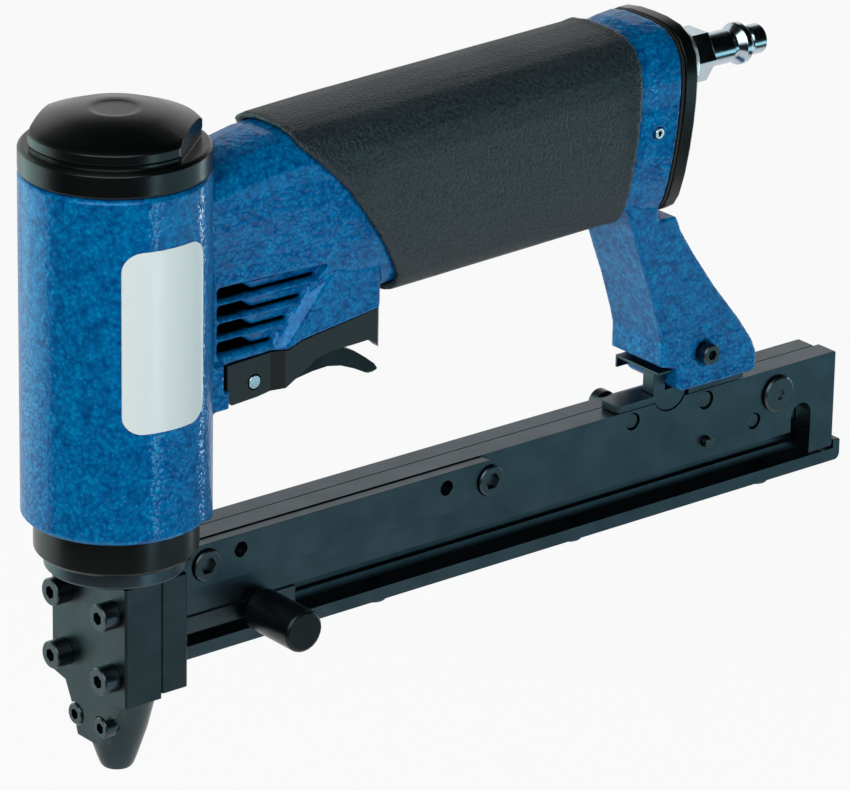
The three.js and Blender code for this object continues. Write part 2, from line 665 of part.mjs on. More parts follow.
// Skin through closed rings of points, ends closed flat.
function skin(rings) {
  const n = rings[0].length;
  const p = [];
  const put = (a, b, c) => p.push(...a, ...b, ...c);
  for (let s = 0; s + 1 < rings.length; s += 1) {
    for (let i = 0; i < n; i += 1) {
      const j = (i + 1) % n;
      put(rings[s][i], rings[s + 1][i], rings[s + 1][j]);
      put(rings[s][i], rings[s + 1][j], rings[s][j]);
    }
  }
  const middle = (ring) => [0, 1, 2].map((k) => ring.reduce((sum, q) => sum + q[k], 0) / n);
  const first = middle(rings[0]);
  const last = middle(rings[rings.length - 1]);
  for (let i = 0; i < n; i += 1) {
    const j = (i + 1) % n;
    put(first, rings[0][i], rings[0][j]);
    put(last, rings[rings.length - 1][j], rings[rings.length - 1][i]);
  }
  const g = new THREE.BufferGeometry();
  g.setAttribute('position', new THREE.BufferAttribute(new Float32Array(p), 3));
  if (signedVolume(g) < 0) flip(g);
  return toSolid(g);
}

// Softened half outline through the share points.
function softened(table) {
  const curve = new THREE.SplineCurve(table.map(([a, b]) => new THREE.Vector2(a, b)));
  return curve.getPoints(HALF_OUTLINE_STEPS).map((point) => [point.x, point.y]);
}
const EGG_HALF = softened(EGG_SHARES);
const NECK_HALF = softened(NECK_SHARES);
const CAST_X = CAST_X_SHARES.map((share) => CAST_FRONT_X + share * CAST_SPAN);
const CAST_TOP_Z = CAST_TOP_SHARES.map((share) => CAST_TOP_START_Z + share * CAST_TOP_RISE);
const CAST_LOW_Z = CAST_LOW_SHARES.map((share) => CAST_LOW_START_Z + share * CAST_LOW_RISE);
const CAST_HALF = CAST_HALF_SHARES.map((share) => share * CAST_FULL_HALF);
const TAIL_X = TAIL_X_SHARES.map((share) => TAIL_FRONT_X + share * (HANDLE_REAR_X - TAIL_FRONT_X));
const TAIL_GROWTH = TAIL_SWELL_SHARES.map((share) => share * TAIL_SWELL);
const GRIP_X = GRIP_X_SHARES.map((share) => GRIP_FRONT_X + share * (SLEEVE_REAR_X - GRIP_FRONT_X));
const GRIP_GROWTH = GRIP_THICK_SHARES.map((share) => share * GRIP_THICK);

function along(table, places, x) {
  let i = 0;
  while (i + 2 < places.length && x > places[i + 1]) i += 1;
  const t = (x - places[i]) / (places[i + 1] - places[i]);
  return table[i] + (table[i + 1] - table[i]) * Math.min(1, Math.max(0, t));
}

// Handle section at a place, grown outwards by a distance.
function handleRing(x, place, growth, egg) {
  const top = along(CAST_TOP_Z, CAST_X, place) + growth;
  const low = along(CAST_LOW_Z, CAST_X, place) - growth;
  const half = along(CAST_HALF, CAST_X, place) + growth;
  const row = [];
  for (let i = 0; i < EGG_HALF.length; i += 1) {
    const w = (NECK_HALF[i][0] + (EGG_HALF[i][0] - NECK_HALF[i][0]) * egg) * half;
    const h = low + (NECK_HALF[i][1] + (EGG_HALF[i][1] - NECK_HALF[i][1]) * egg) * (top - low);
    row.push([w, h]);
  }
  const ring = row.map(([w, h]) => [x, -w, h]);
  for (let i = row.length - 2; i > 0; i -= 1) ring.push([x, row[i][0], row[i][1]]);
  return ring;
}

function castLoft(growth) {
  const rings = CAST_X.map((x, i) => handleRing(x, x, growth, CAST_EGG_SHARES[i]));
  return skin(rings);
}

function grownLoft(places, growths) {
  return skin(places.map((x, i) => handleRing(x, Math.min(x, CAST_X[CAST_X.length - 1]), growths[i], 1)));
}

function shares(table, a0, spanA, b0, spanB) {
  return table.map(([a, b]) => [a0 + a * spanA, b0 + b * spanB]);
}

const group = new THREE.Group();
group.name = 'pneumatic_pin_nailer';
function add(name, solid, color, roughness, metalness) {
  const material = new THREE.MeshStandardMaterial({ color, roughness, metalness });
  material.name = name;
  const mesh = new THREE.Mesh(toGeometry(solid), material);
  mesh.name = name;
  group.add(mesh);
  return solid;
}

const BLUE = 0x0a5aa5;
const BLACK = 0x16181a;
const RUBBER = 0x232628;
const STEEL_BLUED = 0x27323a;
const STEEL = 0x8d9296;
const ZINC = 0xb9bec2;
const ALUMINIUM = 0xc3c6c9;
const BRASS = 0xb08d4a;
const AMBER = 0xb5651d;
const PALE = 0xe4e8ea;

// Screw with a plain cylinder head. place is the outer face of the head, sense points into the metal.
function capScrew(axis, headR, headHeight, shankR, length, face, sense, a, b) {
  const e = HEAD_EDGE_ROUND;
  const profile = [
    [0, face], [headR - e, face], [headR, face + sense * e], [headR, face + sense * headHeight],
    [shankR, face + sense * headHeight], [shankR, face + sense * (headHeight + length)],
    [0, face + sense * (headHeight + length)],
  ];
  return turned(axis, profile, SEGMENTS_SMALL, a, b);
}

function rod(axis, r, from, to, a, b, steps = SEGMENTS_SMALL) {
  return turned(axis, [[0, from], [r, from], [r, to], [0, to]], steps, a, b);
}

// Housing: head, web, neck, handle, leg and foot as one casting.
function neckBlock(growth) {
  const low = NECK_BOTTOM_Z - CUT_OVERRUN;
  const rings = NECK_RIDGE_SHARES.map(([along, up]) => {
    const z = low + up * (NECK_BLOCK_TOP_Z - low);
    const split = NECK_SPLIT_LOW_X + along * (NECK_SPLIT_HIGH_X - NECK_SPLIT_LOW_X);
    const thin = NECK_THIN_HALF + growth;
    const wide = NECK_WIDE_HALF + growth;
    const rear = NECK_BLOCK_REAR_X + growth;
    const half = [
      [NECK_BLOCK_FRONT_X, thin], [split, thin], [split + NECK_FLARE, wide], [rear - LEG_EDGE, wide],
    ];
    const side = [...half, [rear, wide - LEG_EDGE]];
    const ring = side.map(([x, y]) => [x, -y, z]);
    for (let k = side.length - 1; k >= 0; k -= 1) ring.push([side[k][0], side[k][1], z]);
    return ring;
  });
  const outline = [
    [NECK_BLOCK_FRONT_X, NECK_BOTTOM_Z - growth], [NECK_BOTTOM_MIDDLE_X, NECK_BOTTOM_MIDDLE_Z - growth],
    [NECK_BOTTOM_STEP_X, NECK_BOTTOM_STEP_Z - growth],
    [NECK_BLOCK_REAR_X + CUT_OVERRUN, NECK_BOTTOM_REAR_Z - growth],
    [NECK_BLOCK_REAR_X + CUT_OVERRUN, NECK_BLOCK_TOP_Z + CUT_OVERRUN],
    [NECK_BLOCK_FRONT_X, NECK_BLOCK_TOP_Z + CUT_OVERRUN],
  ];
  return skin(rings).intersect(prism('y', outline, -SLOT_OUTER_Y, SLOT_OUTER_Y));
}

let housing = turned('z', [
  [0, HEAD_BOTTOM_Z], [HEAD_R - HEAD_EDGE, HEAD_BOTTOM_Z], [HEAD_R, HEAD_BOTTOM_Z + HEAD_EDGE],
  [HEAD_R, HEAD_TOP_Z - HEAD_EDGE], [HEAD_R - HEAD_EDGE, HEAD_TOP_Z], [0, HEAD_TOP_Z],
], SEGMENTS_LARGE);
const webPlan = cutRect(WEB_FRONT_X, WEB_REAR_X, -WEB_HALF, WEB_HALF, WEB_EDGE);
let web = prism('z', webPlan, WEB_BOTTOM_Z, WEB_TOP_Z);
web = web.add(box(WEB_FRONT_X, LIP_REAR_X, -LIP_HALF, LIP_HALF, LIP_BOTTOM_Z, LIP_TOP_Z));
web = web.add(box(WEB_FRONT_X, LIP_FOOT_REAR_X, -LIP_HALF, LIP_HALF, LIP_BOTTOM_Z, LIP_STEP_Z));
const underHeadR = COLLAR_R + WEB_COLLAR_CLEAR;
web = web.subtract(rod('z', underHeadR, WEB_BOTTOM_Z - CUT_OVERRUN, HEAD_BOTTOM_Z, 0, 0, SEGMENTS_LARGE));
housing = housing.add(web);
housing = housing.add(castLoft(0)).add(grownLoft(TAIL_X, TAIL_GROWTH)).add(neckBlock(0));
const legOutline = shares(LEG_OUTLINE_SHARES, LEG_LEFT_X, LEG_SPAN, LEG_LOW_Z, LEG_RISE);
let leg = prism('y', legOutline, -LEG_HALF, LEG_HALF);
const legTopZ = LEG_LOW_Z + LEG_RISE;
const legPlan = cutRect(-LEG_HALF, LEG_HALF, LEG_LOW_Z - CUT_OVERRUN, legTopZ + CUT_OVERRUN, LEG_CORNER);
const legFront = prism('x', legPlan, LEG_LEFT_X - LEG_SPAN, LEG_LEFT_X + LEG_SPAN + LEG_SPAN);
leg = leg.intersect(legFront);
housing = housing.add(leg);
// Bore for the air engine, valve bore, slots, foot slot and holes.
housing = housing.subtract(
  rod('z', HEAD_BORE_R, HEAD_BOTTOM_Z - CUT_OVERRUN, HEAD_TOP_Z + CUT_OVERRUN, 0, 0, SEGMENTS_LARGE),
);
housing = housing.subtract(
  rod('z', VALVE_BORE_R, NECK_BOTTOM_Z, VALVE_BODY_TOP_Z + GAP, VALVE_X, 0, SEGMENTS_MIDDLE),
);
for (let i = 0; i < SLOT_COUNT; i += 1) {
  const top = SLOT_TOP_Z - i * SLOT_PITCH;
  const bottom = top - SLOT_HEIGHT;
  const rear = SLOT_REAR_TOP_X - i * SLOT_REAR_STEP;
  const open = [
    [SLOT_FRONT_X, bottom], [SLOT_FRONT_X + SLOT_OPEN_LENGTH + SLOT_OPEN_SLANT, bottom],
    [SLOT_FRONT_X + SLOT_OPEN_LENGTH, top], [SLOT_FRONT_X, top],
  ];
  const whole = [[SLOT_FRONT_X, bottom], [rear - SLOT_END_SLANT, bottom], [rear, top], [SLOT_FRONT_X, top]];
  const groove = box(SLOT_FRONT_X, rear, SLOT_GROOVE_Y, SLOT_OUTER_Y, bottom - GAP, bottom + SLOT_GROOVE);
  const face = prism('x', [
    [SLOT_FACE_LOW_Y, bottom], [SLOT_OUTER_Y, bottom], [SLOT_OUTER_Y, top], [SLOT_FACE_HIGH_Y, top],
  ], SLOT_FRONT_X, rear);
  const shallow = groove.add(face).intersect(prism('y', whole, 0, SLOT_OUTER_Y));
  const cut = shallow.add(prism('y', open, SLOT_DEEP_Y, SLOT_OUTER_Y));
  housing = housing.subtract(cut).subtract(cut.mirror([0, 1, 0]));
}
housing = housing.subtract(box(TONGUE_FRONT_X - GAP, TONGUE_REAR_X + GAP, -FOOT_SLOT_HALF, FOOT_SLOT_HALF,
  LEG_LOW_Z - CUT_OVERRUN, TONGUE_TOP_Z + GAP));
housing = housing.subtract(rod(
  'y', FOOT_SCREW_SHANK_R + GAP, -LEG_HALF - CUT_OVERRUN, LEG_HALF - FOOT_BORE_DEPTH,
  FOOT_SCREW_X, FOOT_SCREW_Z,
));
housing = housing.subtract(
  rod('y', FOOT_BORE_R, -LEG_HALF - CUT_OVERRUN, -LEG_HALF + FOOT_BORE_DEPTH, FOOT_SCREW_X, FOOT_SCREW_Z),
);
const rollPinEnd = -SLOT_OUTER_Y + ROLL_PIN_DEPTH + GAP;
housing = housing.subtract(
  rod('y', ROLL_PIN_R + THIN_GAP, -SLOT_OUTER_Y - CUT_OVERRUN, rollPinEnd, ROLL_PIN_X, ROLL_PIN_Z),
);
housing = housing.subtract(
  rod('x', NIPPLE_SHANK_R + GAP, HANDLE_REAR_X - ROLL_PIN_R, HANDLE_REAR_X + CUT_OVERRUN, 0, INLET_Z),
);
add('housing', housing, BLUE, 0.28, 0.35);

// Cap with two flats for the wrench that takes it off.
let cap = turned('z', [
  [0, CAP_POCKET_Z], [CAP_SPIGOT_INNER_R, CAP_POCKET_Z], [CAP_SPIGOT_INNER_R, CAP_SPIGOT_BOTTOM_Z],
  [CAP_SPIGOT_R, CAP_SPIGOT_BOTTOM_Z], [CAP_SPIGOT_R, HEAD_TOP_Z + GAP],
  [CAP_RING_R - CAP_RING_EDGE, HEAD_TOP_Z + GAP],
  [CAP_RING_R, HEAD_TOP_Z + GAP + CAP_RING_EDGE], [CAP_RING_R, CAP_RING_TOP_Z - CAP_RING_CHAMFER],
  [CAP_RING_TOP_R, CAP_RING_TOP_Z], [CAP_GROOVE_R, CAP_RING_TOP_Z], [CAP_GROOVE_R, CAP_GROOVE_TOP_Z],
  [CAP_DISC_R, CAP_GROOVE_TOP_Z + CAP_RING_EDGE], [CAP_DISC_R, CAP_DISC_TOP_Z],
  [CAP_SHOULDER_R, CAP_SHOULDER_Z],
  [CAP_DOME_MIDDLE_R, CAP_DOME_MIDDLE_Z], [CAP_DOME_INNER_R, CAP_DOME_TOP_Z],
  [CAP_DIMPLE_RIM_R, CAP_DIMPLE_RIM_Z],
  [CAP_DIMPLE_FLOOR_R, CAP_DOME_TOP_Z - CAP_DIMPLE_DEPTH], [0, CAP_DOME_TOP_Z - CAP_DIMPLE_DEPTH],
], SEGMENTS_LARGE);
const flatTurn = CAP_FLAT_TURN_SHARE * 2 * Math.PI;
for (const sense of [1, -1]) {
  const plan = [
    [CAP_FLAT_OFFSET, -CAP_RING_R], [CAP_RING_R + CUT_OVERRUN, -CAP_RING_R],
    [CAP_RING_R + CUT_OVERRUN, CAP_RING_R], [CAP_FLAT_OFFSET, CAP_RING_R],
  ].map(([x, y]) => [
    sense * (x * Math.cos(flatTurn) - y * Math.sin(flatTurn)),
    sense * (x * Math.sin(flatTurn) + y * Math.cos(flatTurn)),
  ]);
  cap = cap.subtract(prism('z', plan, CAP_RING_TOP_Z, CAP_DOME_TOP_Z + CUT_OVERRUN));
}
add('cylinder_cap', cap, BLACK, 0.38, 0.3);

// Air engine
add('main_valve_disc', turned('z', [
  [0, VALVE_DISC_Z], [VALVE_DISC_R, VALVE_DISC_Z], [VALVE_DISC_R, VALVE_DISC_Z + VALVE_DISC_THICK],
  [VALVE_DISC_BOSS_R, VALVE_DISC_Z + VALVE_DISC_THICK],
  [VALVE_DISC_BOSS_R, VALVE_DISC_Z + VALVE_DISC_THICK + VALVE_DISC_BOSS],
  [0, VALVE_DISC_Z + VALVE_DISC_THICK + VALVE_DISC_BOSS],
], SEGMENTS_MIDDLE), RUBBER, 0.8, 0);
add('cylinder_sleeve', turned('z', [
  [SLEEVE_INNER_R, SLEEVE_BOTTOM_Z], [SLEEVE_OUTER_R, SLEEVE_BOTTOM_Z], [SLEEVE_OUTER_R, SLEEVE_BEAD_LOW_Z],
  [SLEEVE_BEAD_R, SLEEVE_BEAD_LOW_Z + SLEEVE_BEAD_SLOPE], [SLEEVE_BEAD_R, SLEEVE_BEAD_HIGH_Z],
  [SLEEVE_OUTER_R, SLEEVE_BEAD_HIGH_Z + SLEEVE_BEAD_SLOPE], [SLEEVE_OUTER_R, SLEEVE_TOP_Z],
  [SLEEVE_INNER_R, SLEEVE_TOP_Z],
], SEGMENTS_MIDDLE), ALUMINIUM, 0.3, 0.9);
add('bumper', turned('z', [
  [BUMPER_HOLE_R, SLEEVE_BOTTOM_Z], [BUMPER_R, SLEEVE_BOTTOM_Z],
  [BUMPER_WAIST_R, SLEEVE_BOTTOM_Z + BUMPER_HEIGHT * THIRD_SHARE],
  [BUMPER_WAIST_R, SLEEVE_BOTTOM_Z + BUMPER_HEIGHT * (1 - THIRD_SHARE)],
  [BUMPER_R, SLEEVE_BOTTOM_Z + BUMPER_HEIGHT],
  [BUMPER_HOLE_R, SLEEVE_BOTTOM_Z + BUMPER_HEIGHT],
], SEGMENTS_MIDDLE), AMBER, 0.6, 0);
const sealLow = PISTON_BOTTOM_Z + PISTON_SEAL_LOW;
const sealHigh = sealLow + PISTON_SEAL_WIDTH;
add('piston', turned('z', [
  [0, PISTON_BOTTOM_Z + DRIVER_COLLAR_LENGTH + GAP],
  [DRIVER_COLLAR_R + GAP, PISTON_BOTTOM_Z + DRIVER_COLLAR_LENGTH + GAP],
  [DRIVER_COLLAR_R + GAP, PISTON_BOTTOM_Z], [PISTON_R, PISTON_BOTTOM_Z], [PISTON_R, sealLow],
  [PISTON_SEAL_GROOVE_R, sealLow], [PISTON_SEAL_GROOVE_R, sealHigh], [PISTON_R, sealHigh],
  [PISTON_R, PISTON_BOTTOM_Z + PISTON_HEIGHT], [PISTON_DISH_R, PISTON_BOTTOM_Z + PISTON_HEIGHT],
  [PISTON_DISH_R, PISTON_BOTTOM_Z + PISTON_HEIGHT - PISTON_DISH_DEPTH],
  [0, PISTON_BOTTOM_Z + PISTON_HEIGHT - PISTON_DISH_DEPTH],
], SEGMENTS_MIDDLE), ALUMINIUM, 0.35, 0.9);
add('piston_seal', turned('z', [
  [PISTON_SEAL_GROOVE_R + GAP, sealLow + THIN_GAP], [PISTON_SEAL_R, sealLow + THIN_GAP],
  [PISTON_SEAL_R, sealHigh - THIN_GAP], [PISTON_SEAL_GROOVE_R + GAP, sealHigh - THIN_GAP],
], SEGMENTS_MIDDLE), RUBBER, 0.8, 0);
add('driver_blade', turned('z', [
  [0, DRIVER_TIP_Z], [DRIVER_R, DRIVER_TIP_Z], [DRIVER_R, PISTON_BOTTOM_Z + GAP],
  [DRIVER_COLLAR_R, PISTON_BOTTOM_Z + GAP], [DRIVER_COLLAR_R, PISTON_BOTTOM_Z + DRIVER_COLLAR_LENGTH],
  [0, PISTON_BOTTOM_Z + DRIVER_COLLAR_LENGTH],
], SEGMENTS_TINY), STEEL, 0.25, 1);

// Collar and ring between the head and the nose
add('nose_collar', turned('z', [
  [DRIVER_HOLE_R, COLLAR_BOTTOM_Z], [COLLAR_R - COLLAR_CHAMFER, COLLAR_BOTTOM_Z],
  [COLLAR_R, COLLAR_BOTTOM_Z + COLLAR_CHAMFER],
  [COLLAR_R, HEAD_BOTTOM_Z - GAP], [COLLAR_SPIGOT_R, HEAD_BOTTOM_Z - GAP],
  [COLLAR_SPIGOT_R, COLLAR_SPIGOT_TOP_Z],
  [DRIVER_HOLE_R, COLLAR_SPIGOT_TOP_Z],
], SEGMENTS_LARGE), BLACK, 0.35, 0.5);
add('nose_ring', turned('z', [
  [DRIVER_HOLE_R, RING_BOTTOM_Z], [RING_R - RING_EDGE, RING_BOTTOM_Z], [RING_R, RING_BOTTOM_Z + RING_EDGE],
  [RING_R, COLLAR_BOTTOM_Z - GAP], [DRIVER_HOLE_R, COLLAR_BOTTOM_Z - GAP],
], SEGMENTS_LARGE), STEEL_BLUED, 0.3, 0.85);

// Nosepiece with the round tip, and the block behind it
const noseTop = RING_BOTTOM_Z - GAP;
const noseOutline = [
  [-NOSE_HALF, noseTop], [-NOSE_HALF, NOSE_STEP_Z], [-NOSE_NECK_HALF, NOSE_NECK_Z],
  [-NOSE_THROAT_HALF, NOSE_THROAT_Z],
  [-NOSE_POINT_HALF, NOSE_POINT_Z], [NOSE_POINT_HALF, NOSE_POINT_Z], [NOSE_THROAT_HALF, NOSE_THROAT_Z],
  [NOSE_NECK_HALF, NOSE_NECK_Z], [NOSE_HALF, NOSE_STEP_Z], [NOSE_HALF, noseTop],
];
let nose = prism('x', noseOutline, NOSE_FRONT_X, NOSE_PARTING_X - GAP);
const nosePlan = cutRect(NOSE_FRONT_X, NOSE_PARTING_X + CUT_OVERRUN, -NOSE_HALF, NOSE_HALF, NOSE_EDGE);
nose = nose.intersect(prism('z', nosePlan, -CUT_OVERRUN, noseTop + CUT_OVERRUN));
let tip = turned('z', [
  [0, 0], [TIP_END_R, 0], [TIP_ROUND_R, TIP_ROUND_Z], [TIP_LOW_R, TIP_LOW_Z], [TIP_MIDDLE_R, TIP_MIDDLE_Z],
  [TIP_TOP_R, TIP_TOP_Z], [TIP_TOP_R, NOSE_BLOCK_BOTTOM_Z - GAP], [0, NOSE_BLOCK_BOTTOM_Z - GAP],
], SEGMENTS_MIDDLE);
tip = tip.intersect(box(NOSE_FRONT_X, NOSE_HALF, -NOSE_HALF, NOSE_HALF, -CUT_OVERRUN, NOSE_HALF + NOSE_HALF));
nose = nose.add(tip);
nose = nose.subtract(rod('z', DRIVER_HOLE_R, -CUT_OVERRUN, noseTop + CUT_OVERRUN, 0, 0, SEGMENTS_SMALL));
nose = nose.subtract(
  box(0, NOSE_PARTING_X + CUT_OVERRUN, -PIN_FEED_HALF, PIN_FEED_HALF, PIN_FEED_BOTTOM_Z, PIN_FEED_TOP_Z),
);
const blockPlan = cutRect(NOSE_PARTING_X, NOSE_REAR_X, -NOSE_HALF, NOSE_HALF, NOSE_EDGE);
let block = prism('z', blockPlan, NOSE_BLOCK_BOTTOM_Z, noseTop);
block = block.subtract(box(
  NOSE_PARTING_X - CUT_OVERRUN, NOSE_REAR_X + CUT_OVERRUN, -PIN_FEED_HALF, PIN_FEED_HALF,
  PIN_FEED_BOTTOM_Z, PIN_FEED_TOP_Z,
));
const noseScrews = [];
const headOuter = NOSE_FRONT_X - M4_HEAD_HEIGHT;
let screwNumber = 0;
for (const z of [M4_HIGH_Z, M4_LOW_Z]) {
  for (const side of [-1, 1]) {
    screwNumber += 1;
    const y = side * M4_HALF_SPACING;
    const end = NOSE_FRONT_X + M4_LENGTH + SCREW_END_CLEAR;
    nose = nose.subtract(rod('x', M4_SHANK_R + GAP, NOSE_FRONT_X - CUT_OVERRUN, end, y, z));
    block = block.subtract(rod('x', M4_SHANK_R + GAP, NOSE_PARTING_X - CUT_OVERRUN, end, y, z));
    const solid = capScrew(
      'x', M4_HEAD_R, M4_HEAD_HEIGHT - THIN_GAP, M4_SHANK_R, M4_LENGTH, headOuter, 1, y, z,
    );
    noseScrews.push([`nose_screw_${screwNumber}`, solid]);
  }
}
for (const side of [-1, 1]) {
  const y = side * M3_HALF_SPACING;
  const face = NOSE_FRONT_X - M3_PROUD;
  const seat = face + M3_HEAD_HEIGHT;
  nose = nose.subtract(rod('x', M3_HEAD_R + GAP, face - CUT_OVERRUN, seat + THIN_GAP, y, M3_Z));
  nose = nose.subtract(rod('x', M3_SHANK_R + GAP, face, seat + M3_LENGTH + SCREW_END_CLEAR, y, M3_Z));
  noseScrews.push([`tip_screw_${side < 0 ? 1 : 2}`,
    capScrew('x', M3_HEAD_R, M3_HEAD_HEIGHT, M3_SHANK_R, M3_LENGTH, face, 1, y, M3_Z)]);
}
add('nosepiece', nose, STEEL_BLUED, 0.32, 0.85);
add('nose_rear_block', block, STEEL_BLUED, 0.34, 0.85);
for (const [name, solid] of noseScrews) add(name, solid, BLACK, 0.35, 0.8);

// Magazine: near plate, far plate, rail below, bracket strip
const nearInner = MAG_PARTING_Y - THIN_GAP;
const farInner = MAG_PARTING_Y + THIN_GAP;
const channelFloor = nearInner - MAG_CHANNEL_DEPTH + THIN_GAP;
let near = prism('y', [
  [MAG_FRONT_X, MAG_SLOT_TOP_Z], [PLATE_TAIL_X, MAG_SLOT_TOP_Z], [PLATE_TAIL_X, PLATE_TAIL_Z],
  [MAG_NEAR_REAR_X - MAG_EDGE, PLATE_TAIL_Z], [MAG_NEAR_REAR_X, PLATE_TAIL_Z + MAG_EDGE],
  [MAG_NEAR_REAR_X, MAG_TOP_Z - MAG_EDGE], [MAG_NEAR_REAR_X - MAG_EDGE, MAG_TOP_Z], [MAG_FRONT_X, MAG_TOP_Z],
], MAG_NEAR_Y, nearInner);
near = near.subtract(box(
  MAG_FRONT_X - CUT_OVERRUN, MAG_NEAR_REAR_X + CUT_OVERRUN, channelFloor, nearInner + CUT_OVERRUN,
  PLATE_TAIL_Z - CUT_OVERRUN, MAG_CHANNEL_TOP_Z,
));
const keyhole = (low) => [
  [KEYHOLE_X - KEYHOLE_R, low],
  ...circle(KEYHOLE_X, KEYHOLE_Z, KEYHOLE_R, SEGMENTS_SMALL).slice(0, SEGMENTS_SMALL / 2 + 1).reverse(),
  [KEYHOLE_X + KEYHOLE_R, low],
];
near = near.subtract(prism(
  'y', keyhole(MAG_SLOT_TOP_Z - CUT_OVERRUN).reverse(), MAG_NEAR_Y - CUT_OVERRUN, nearInner + CUT_OVERRUN,
));
const postPocket = rod(
  'y', POST_R + GAP, BAR_NEAR_Y - CUT_OVERRUN, POST_FAR_Y + GAP, POST_X, POST_Z, SEGMENTS_MIDDLE,
);
near = near.subtract(postPocket);

let far = prism('x', [
  [farInner, MAG_TOP_Z], [farInner, MAG_SLOT_TOP_Z], [MAG_SLOT_BACK_Y, MAG_SLOT_TOP_Z],
  [MAG_SLOT_BACK_Y, MAG_GUIDE_STEP_Z],
  [MAG_GUIDE_STEP_Y, MAG_GUIDE_STEP_Z], [MAG_GUIDE_STEP_Y, MAG_FAR_BOTTOM_Z], [MAG_FAR_Y, MAG_FAR_BOTTOM_Z],
  [MAG_FAR_Y, MAG_TOP_Z - MAG_EDGE], [MAG_FAR_Y - MAG_EDGE, MAG_TOP_Z],
].reverse(), MAG_FRONT_X, MAG_FAR_REAR_X);
far = far.subtract(
  prism('y', keyhole(MAG_SLOT_TOP_Z).reverse(), farInner - CUT_OVERRUN, MAG_FAR_Y + CUT_OVERRUN),
);

const ringRelief = rod('z', RING_R + GAP, RING_BOTTOM_Z - GAP, MAG_TOP_Z + CUT_OVERRUN, 0, 0, SEGMENTS_LARGE);
near = near.subtract(ringRelief);
far = far.subtract(ringRelief);

let rail = prism('y', [
  [MAG_FRONT_X, MAG_RAIL_BOTTOM_Z], [MAG_RAIL_REAR_X - MAG_RAIL_ROUND, MAG_RAIL_BOTTOM_Z],
  [MAG_RAIL_REAR_X - MAG_RAIL_ROUND * THIRD_SHARE, MAG_RAIL_BOTTOM_Z + MAG_RAIL_ROUND * THIRD_SHARE],
  [MAG_RAIL_REAR_X, MAG_RAIL_BOTTOM_Z + MAG_RAIL_ROUND], [MAG_RAIL_REAR_X, MAG_RAIL_LIP_Z - MAG_EDGE],
  [MAG_RAIL_REAR_X - MAG_EDGE, MAG_RAIL_LIP_Z], [MAG_RAIL_LIP_X, MAG_RAIL_LIP_Z],
  [MAG_RAIL_LIP_X, MAG_RAIL_TOP_Z],
  [MAG_FRONT_X, MAG_RAIL_TOP_Z],
], -MAG_RAIL_HALF, MAG_RAIL_HALF);

const railScrews = [];
for (let i = 0; i < 3; i += 1) {
  const x = RAIL_SCREW_FRONT_X + i * RAIL_SCREW_PITCH;
  const holeR = RAIL_SCREW_SHANK_R + GAP;
  const holeEnd = MAG_RAIL_BOTTOM_Z + RAIL_SCREW_LENGTH + GAP;
  rail = rail.subtract(
    rod('z', holeR, MAG_RAIL_BOTTOM_Z - CUT_OVERRUN, MAG_RAIL_TOP_Z + CUT_OVERRUN, x, RAIL_SCREW_Y),
  );
  far = far.subtract(rod('z', holeR, MAG_FAR_BOTTOM_Z - CUT_OVERRUN, holeEnd, x, RAIL_SCREW_Y));
  const face = MAG_RAIL_BOTTOM_Z - RAIL_SCREW_HEAD_HEIGHT;
  railScrews.push(capScrew(
    'z', RAIL_SCREW_HEAD_R, RAIL_SCREW_HEAD_HEIGHT - THIN_GAP, RAIL_SCREW_SHANK_R, RAIL_SCREW_LENGTH,
    face, 1, x, RAIL_SCREW_Y,
  ));
}

let strip = prism('y', [
  [MAG_FRONT_X, STRIP_BOTTOM_Z], [STRIP_REAR_X - STRIP_CORNER, STRIP_BOTTOM_Z],
  [STRIP_REAR_X - STRIP_CORNER * THIRD_SHARE, STRIP_BOTTOM_Z + STRIP_CORNER * THIRD_SHARE],
  [STRIP_REAR_X, STRIP_BOTTOM_Z + STRIP_CORNER], [STRIP_REAR_X, STRIP_TOP_Z - STRIP_CORNER],
  [STRIP_REAR_X - STRIP_CORNER * THIRD_SHARE, STRIP_TOP_Z - STRIP_CORNER * THIRD_SHARE],
  [STRIP_REAR_X - STRIP_CORNER, STRIP_TOP_Z], [MAG_FRONT_X, STRIP_TOP_Z],
], STRIP_OUTER_Y, MAG_NEAR_Y - GAP);
strip = strip.subtract(ringRelief);
const stripScrews = [];
for (const x of [STRIP_SCREW_FRONT_X, STRIP_SCREW_REAR_X]) {
  strip = strip.subtract(
    rod('y', STRIP_BORE_R, STRIP_OUTER_Y - CUT_OVERRUN, M5_SEAT_Y + THIN_GAP, x, STRIP_SCREW_Z),
  );
  strip = strip.subtract(
    rod('y', M5_SHANK_R + GAP, STRIP_OUTER_Y, MAG_NEAR_Y + CUT_OVERRUN, x, STRIP_SCREW_Z),
  );
  near = near.subtract(
    rod('y', M5_SHANK_R + GAP, MAG_NEAR_Y - CUT_OVERRUN, M5_SEAT_Y + M5_LENGTH + GAP, x, STRIP_SCREW_Z),
  );
  stripScrews.push(
    capScrew('y', M5_HEAD_R, M5_SEAT_Y - M5_FACE_Y, M5_SHANK_R, M5_LENGTH, M5_FACE_Y, 1, x, STRIP_SCREW_Z),
  );
}
for (const x of [STRIP_HOLE_FRONT_X, STRIP_HOLE_REAR_X]) {
  strip = strip.subtract(rod('y', STRIP_HOLE_R, STRIP_OUTER_Y - CUT_OVERRUN, MAG_NEAR_Y, x, STRIP_HOLE_Z));
}

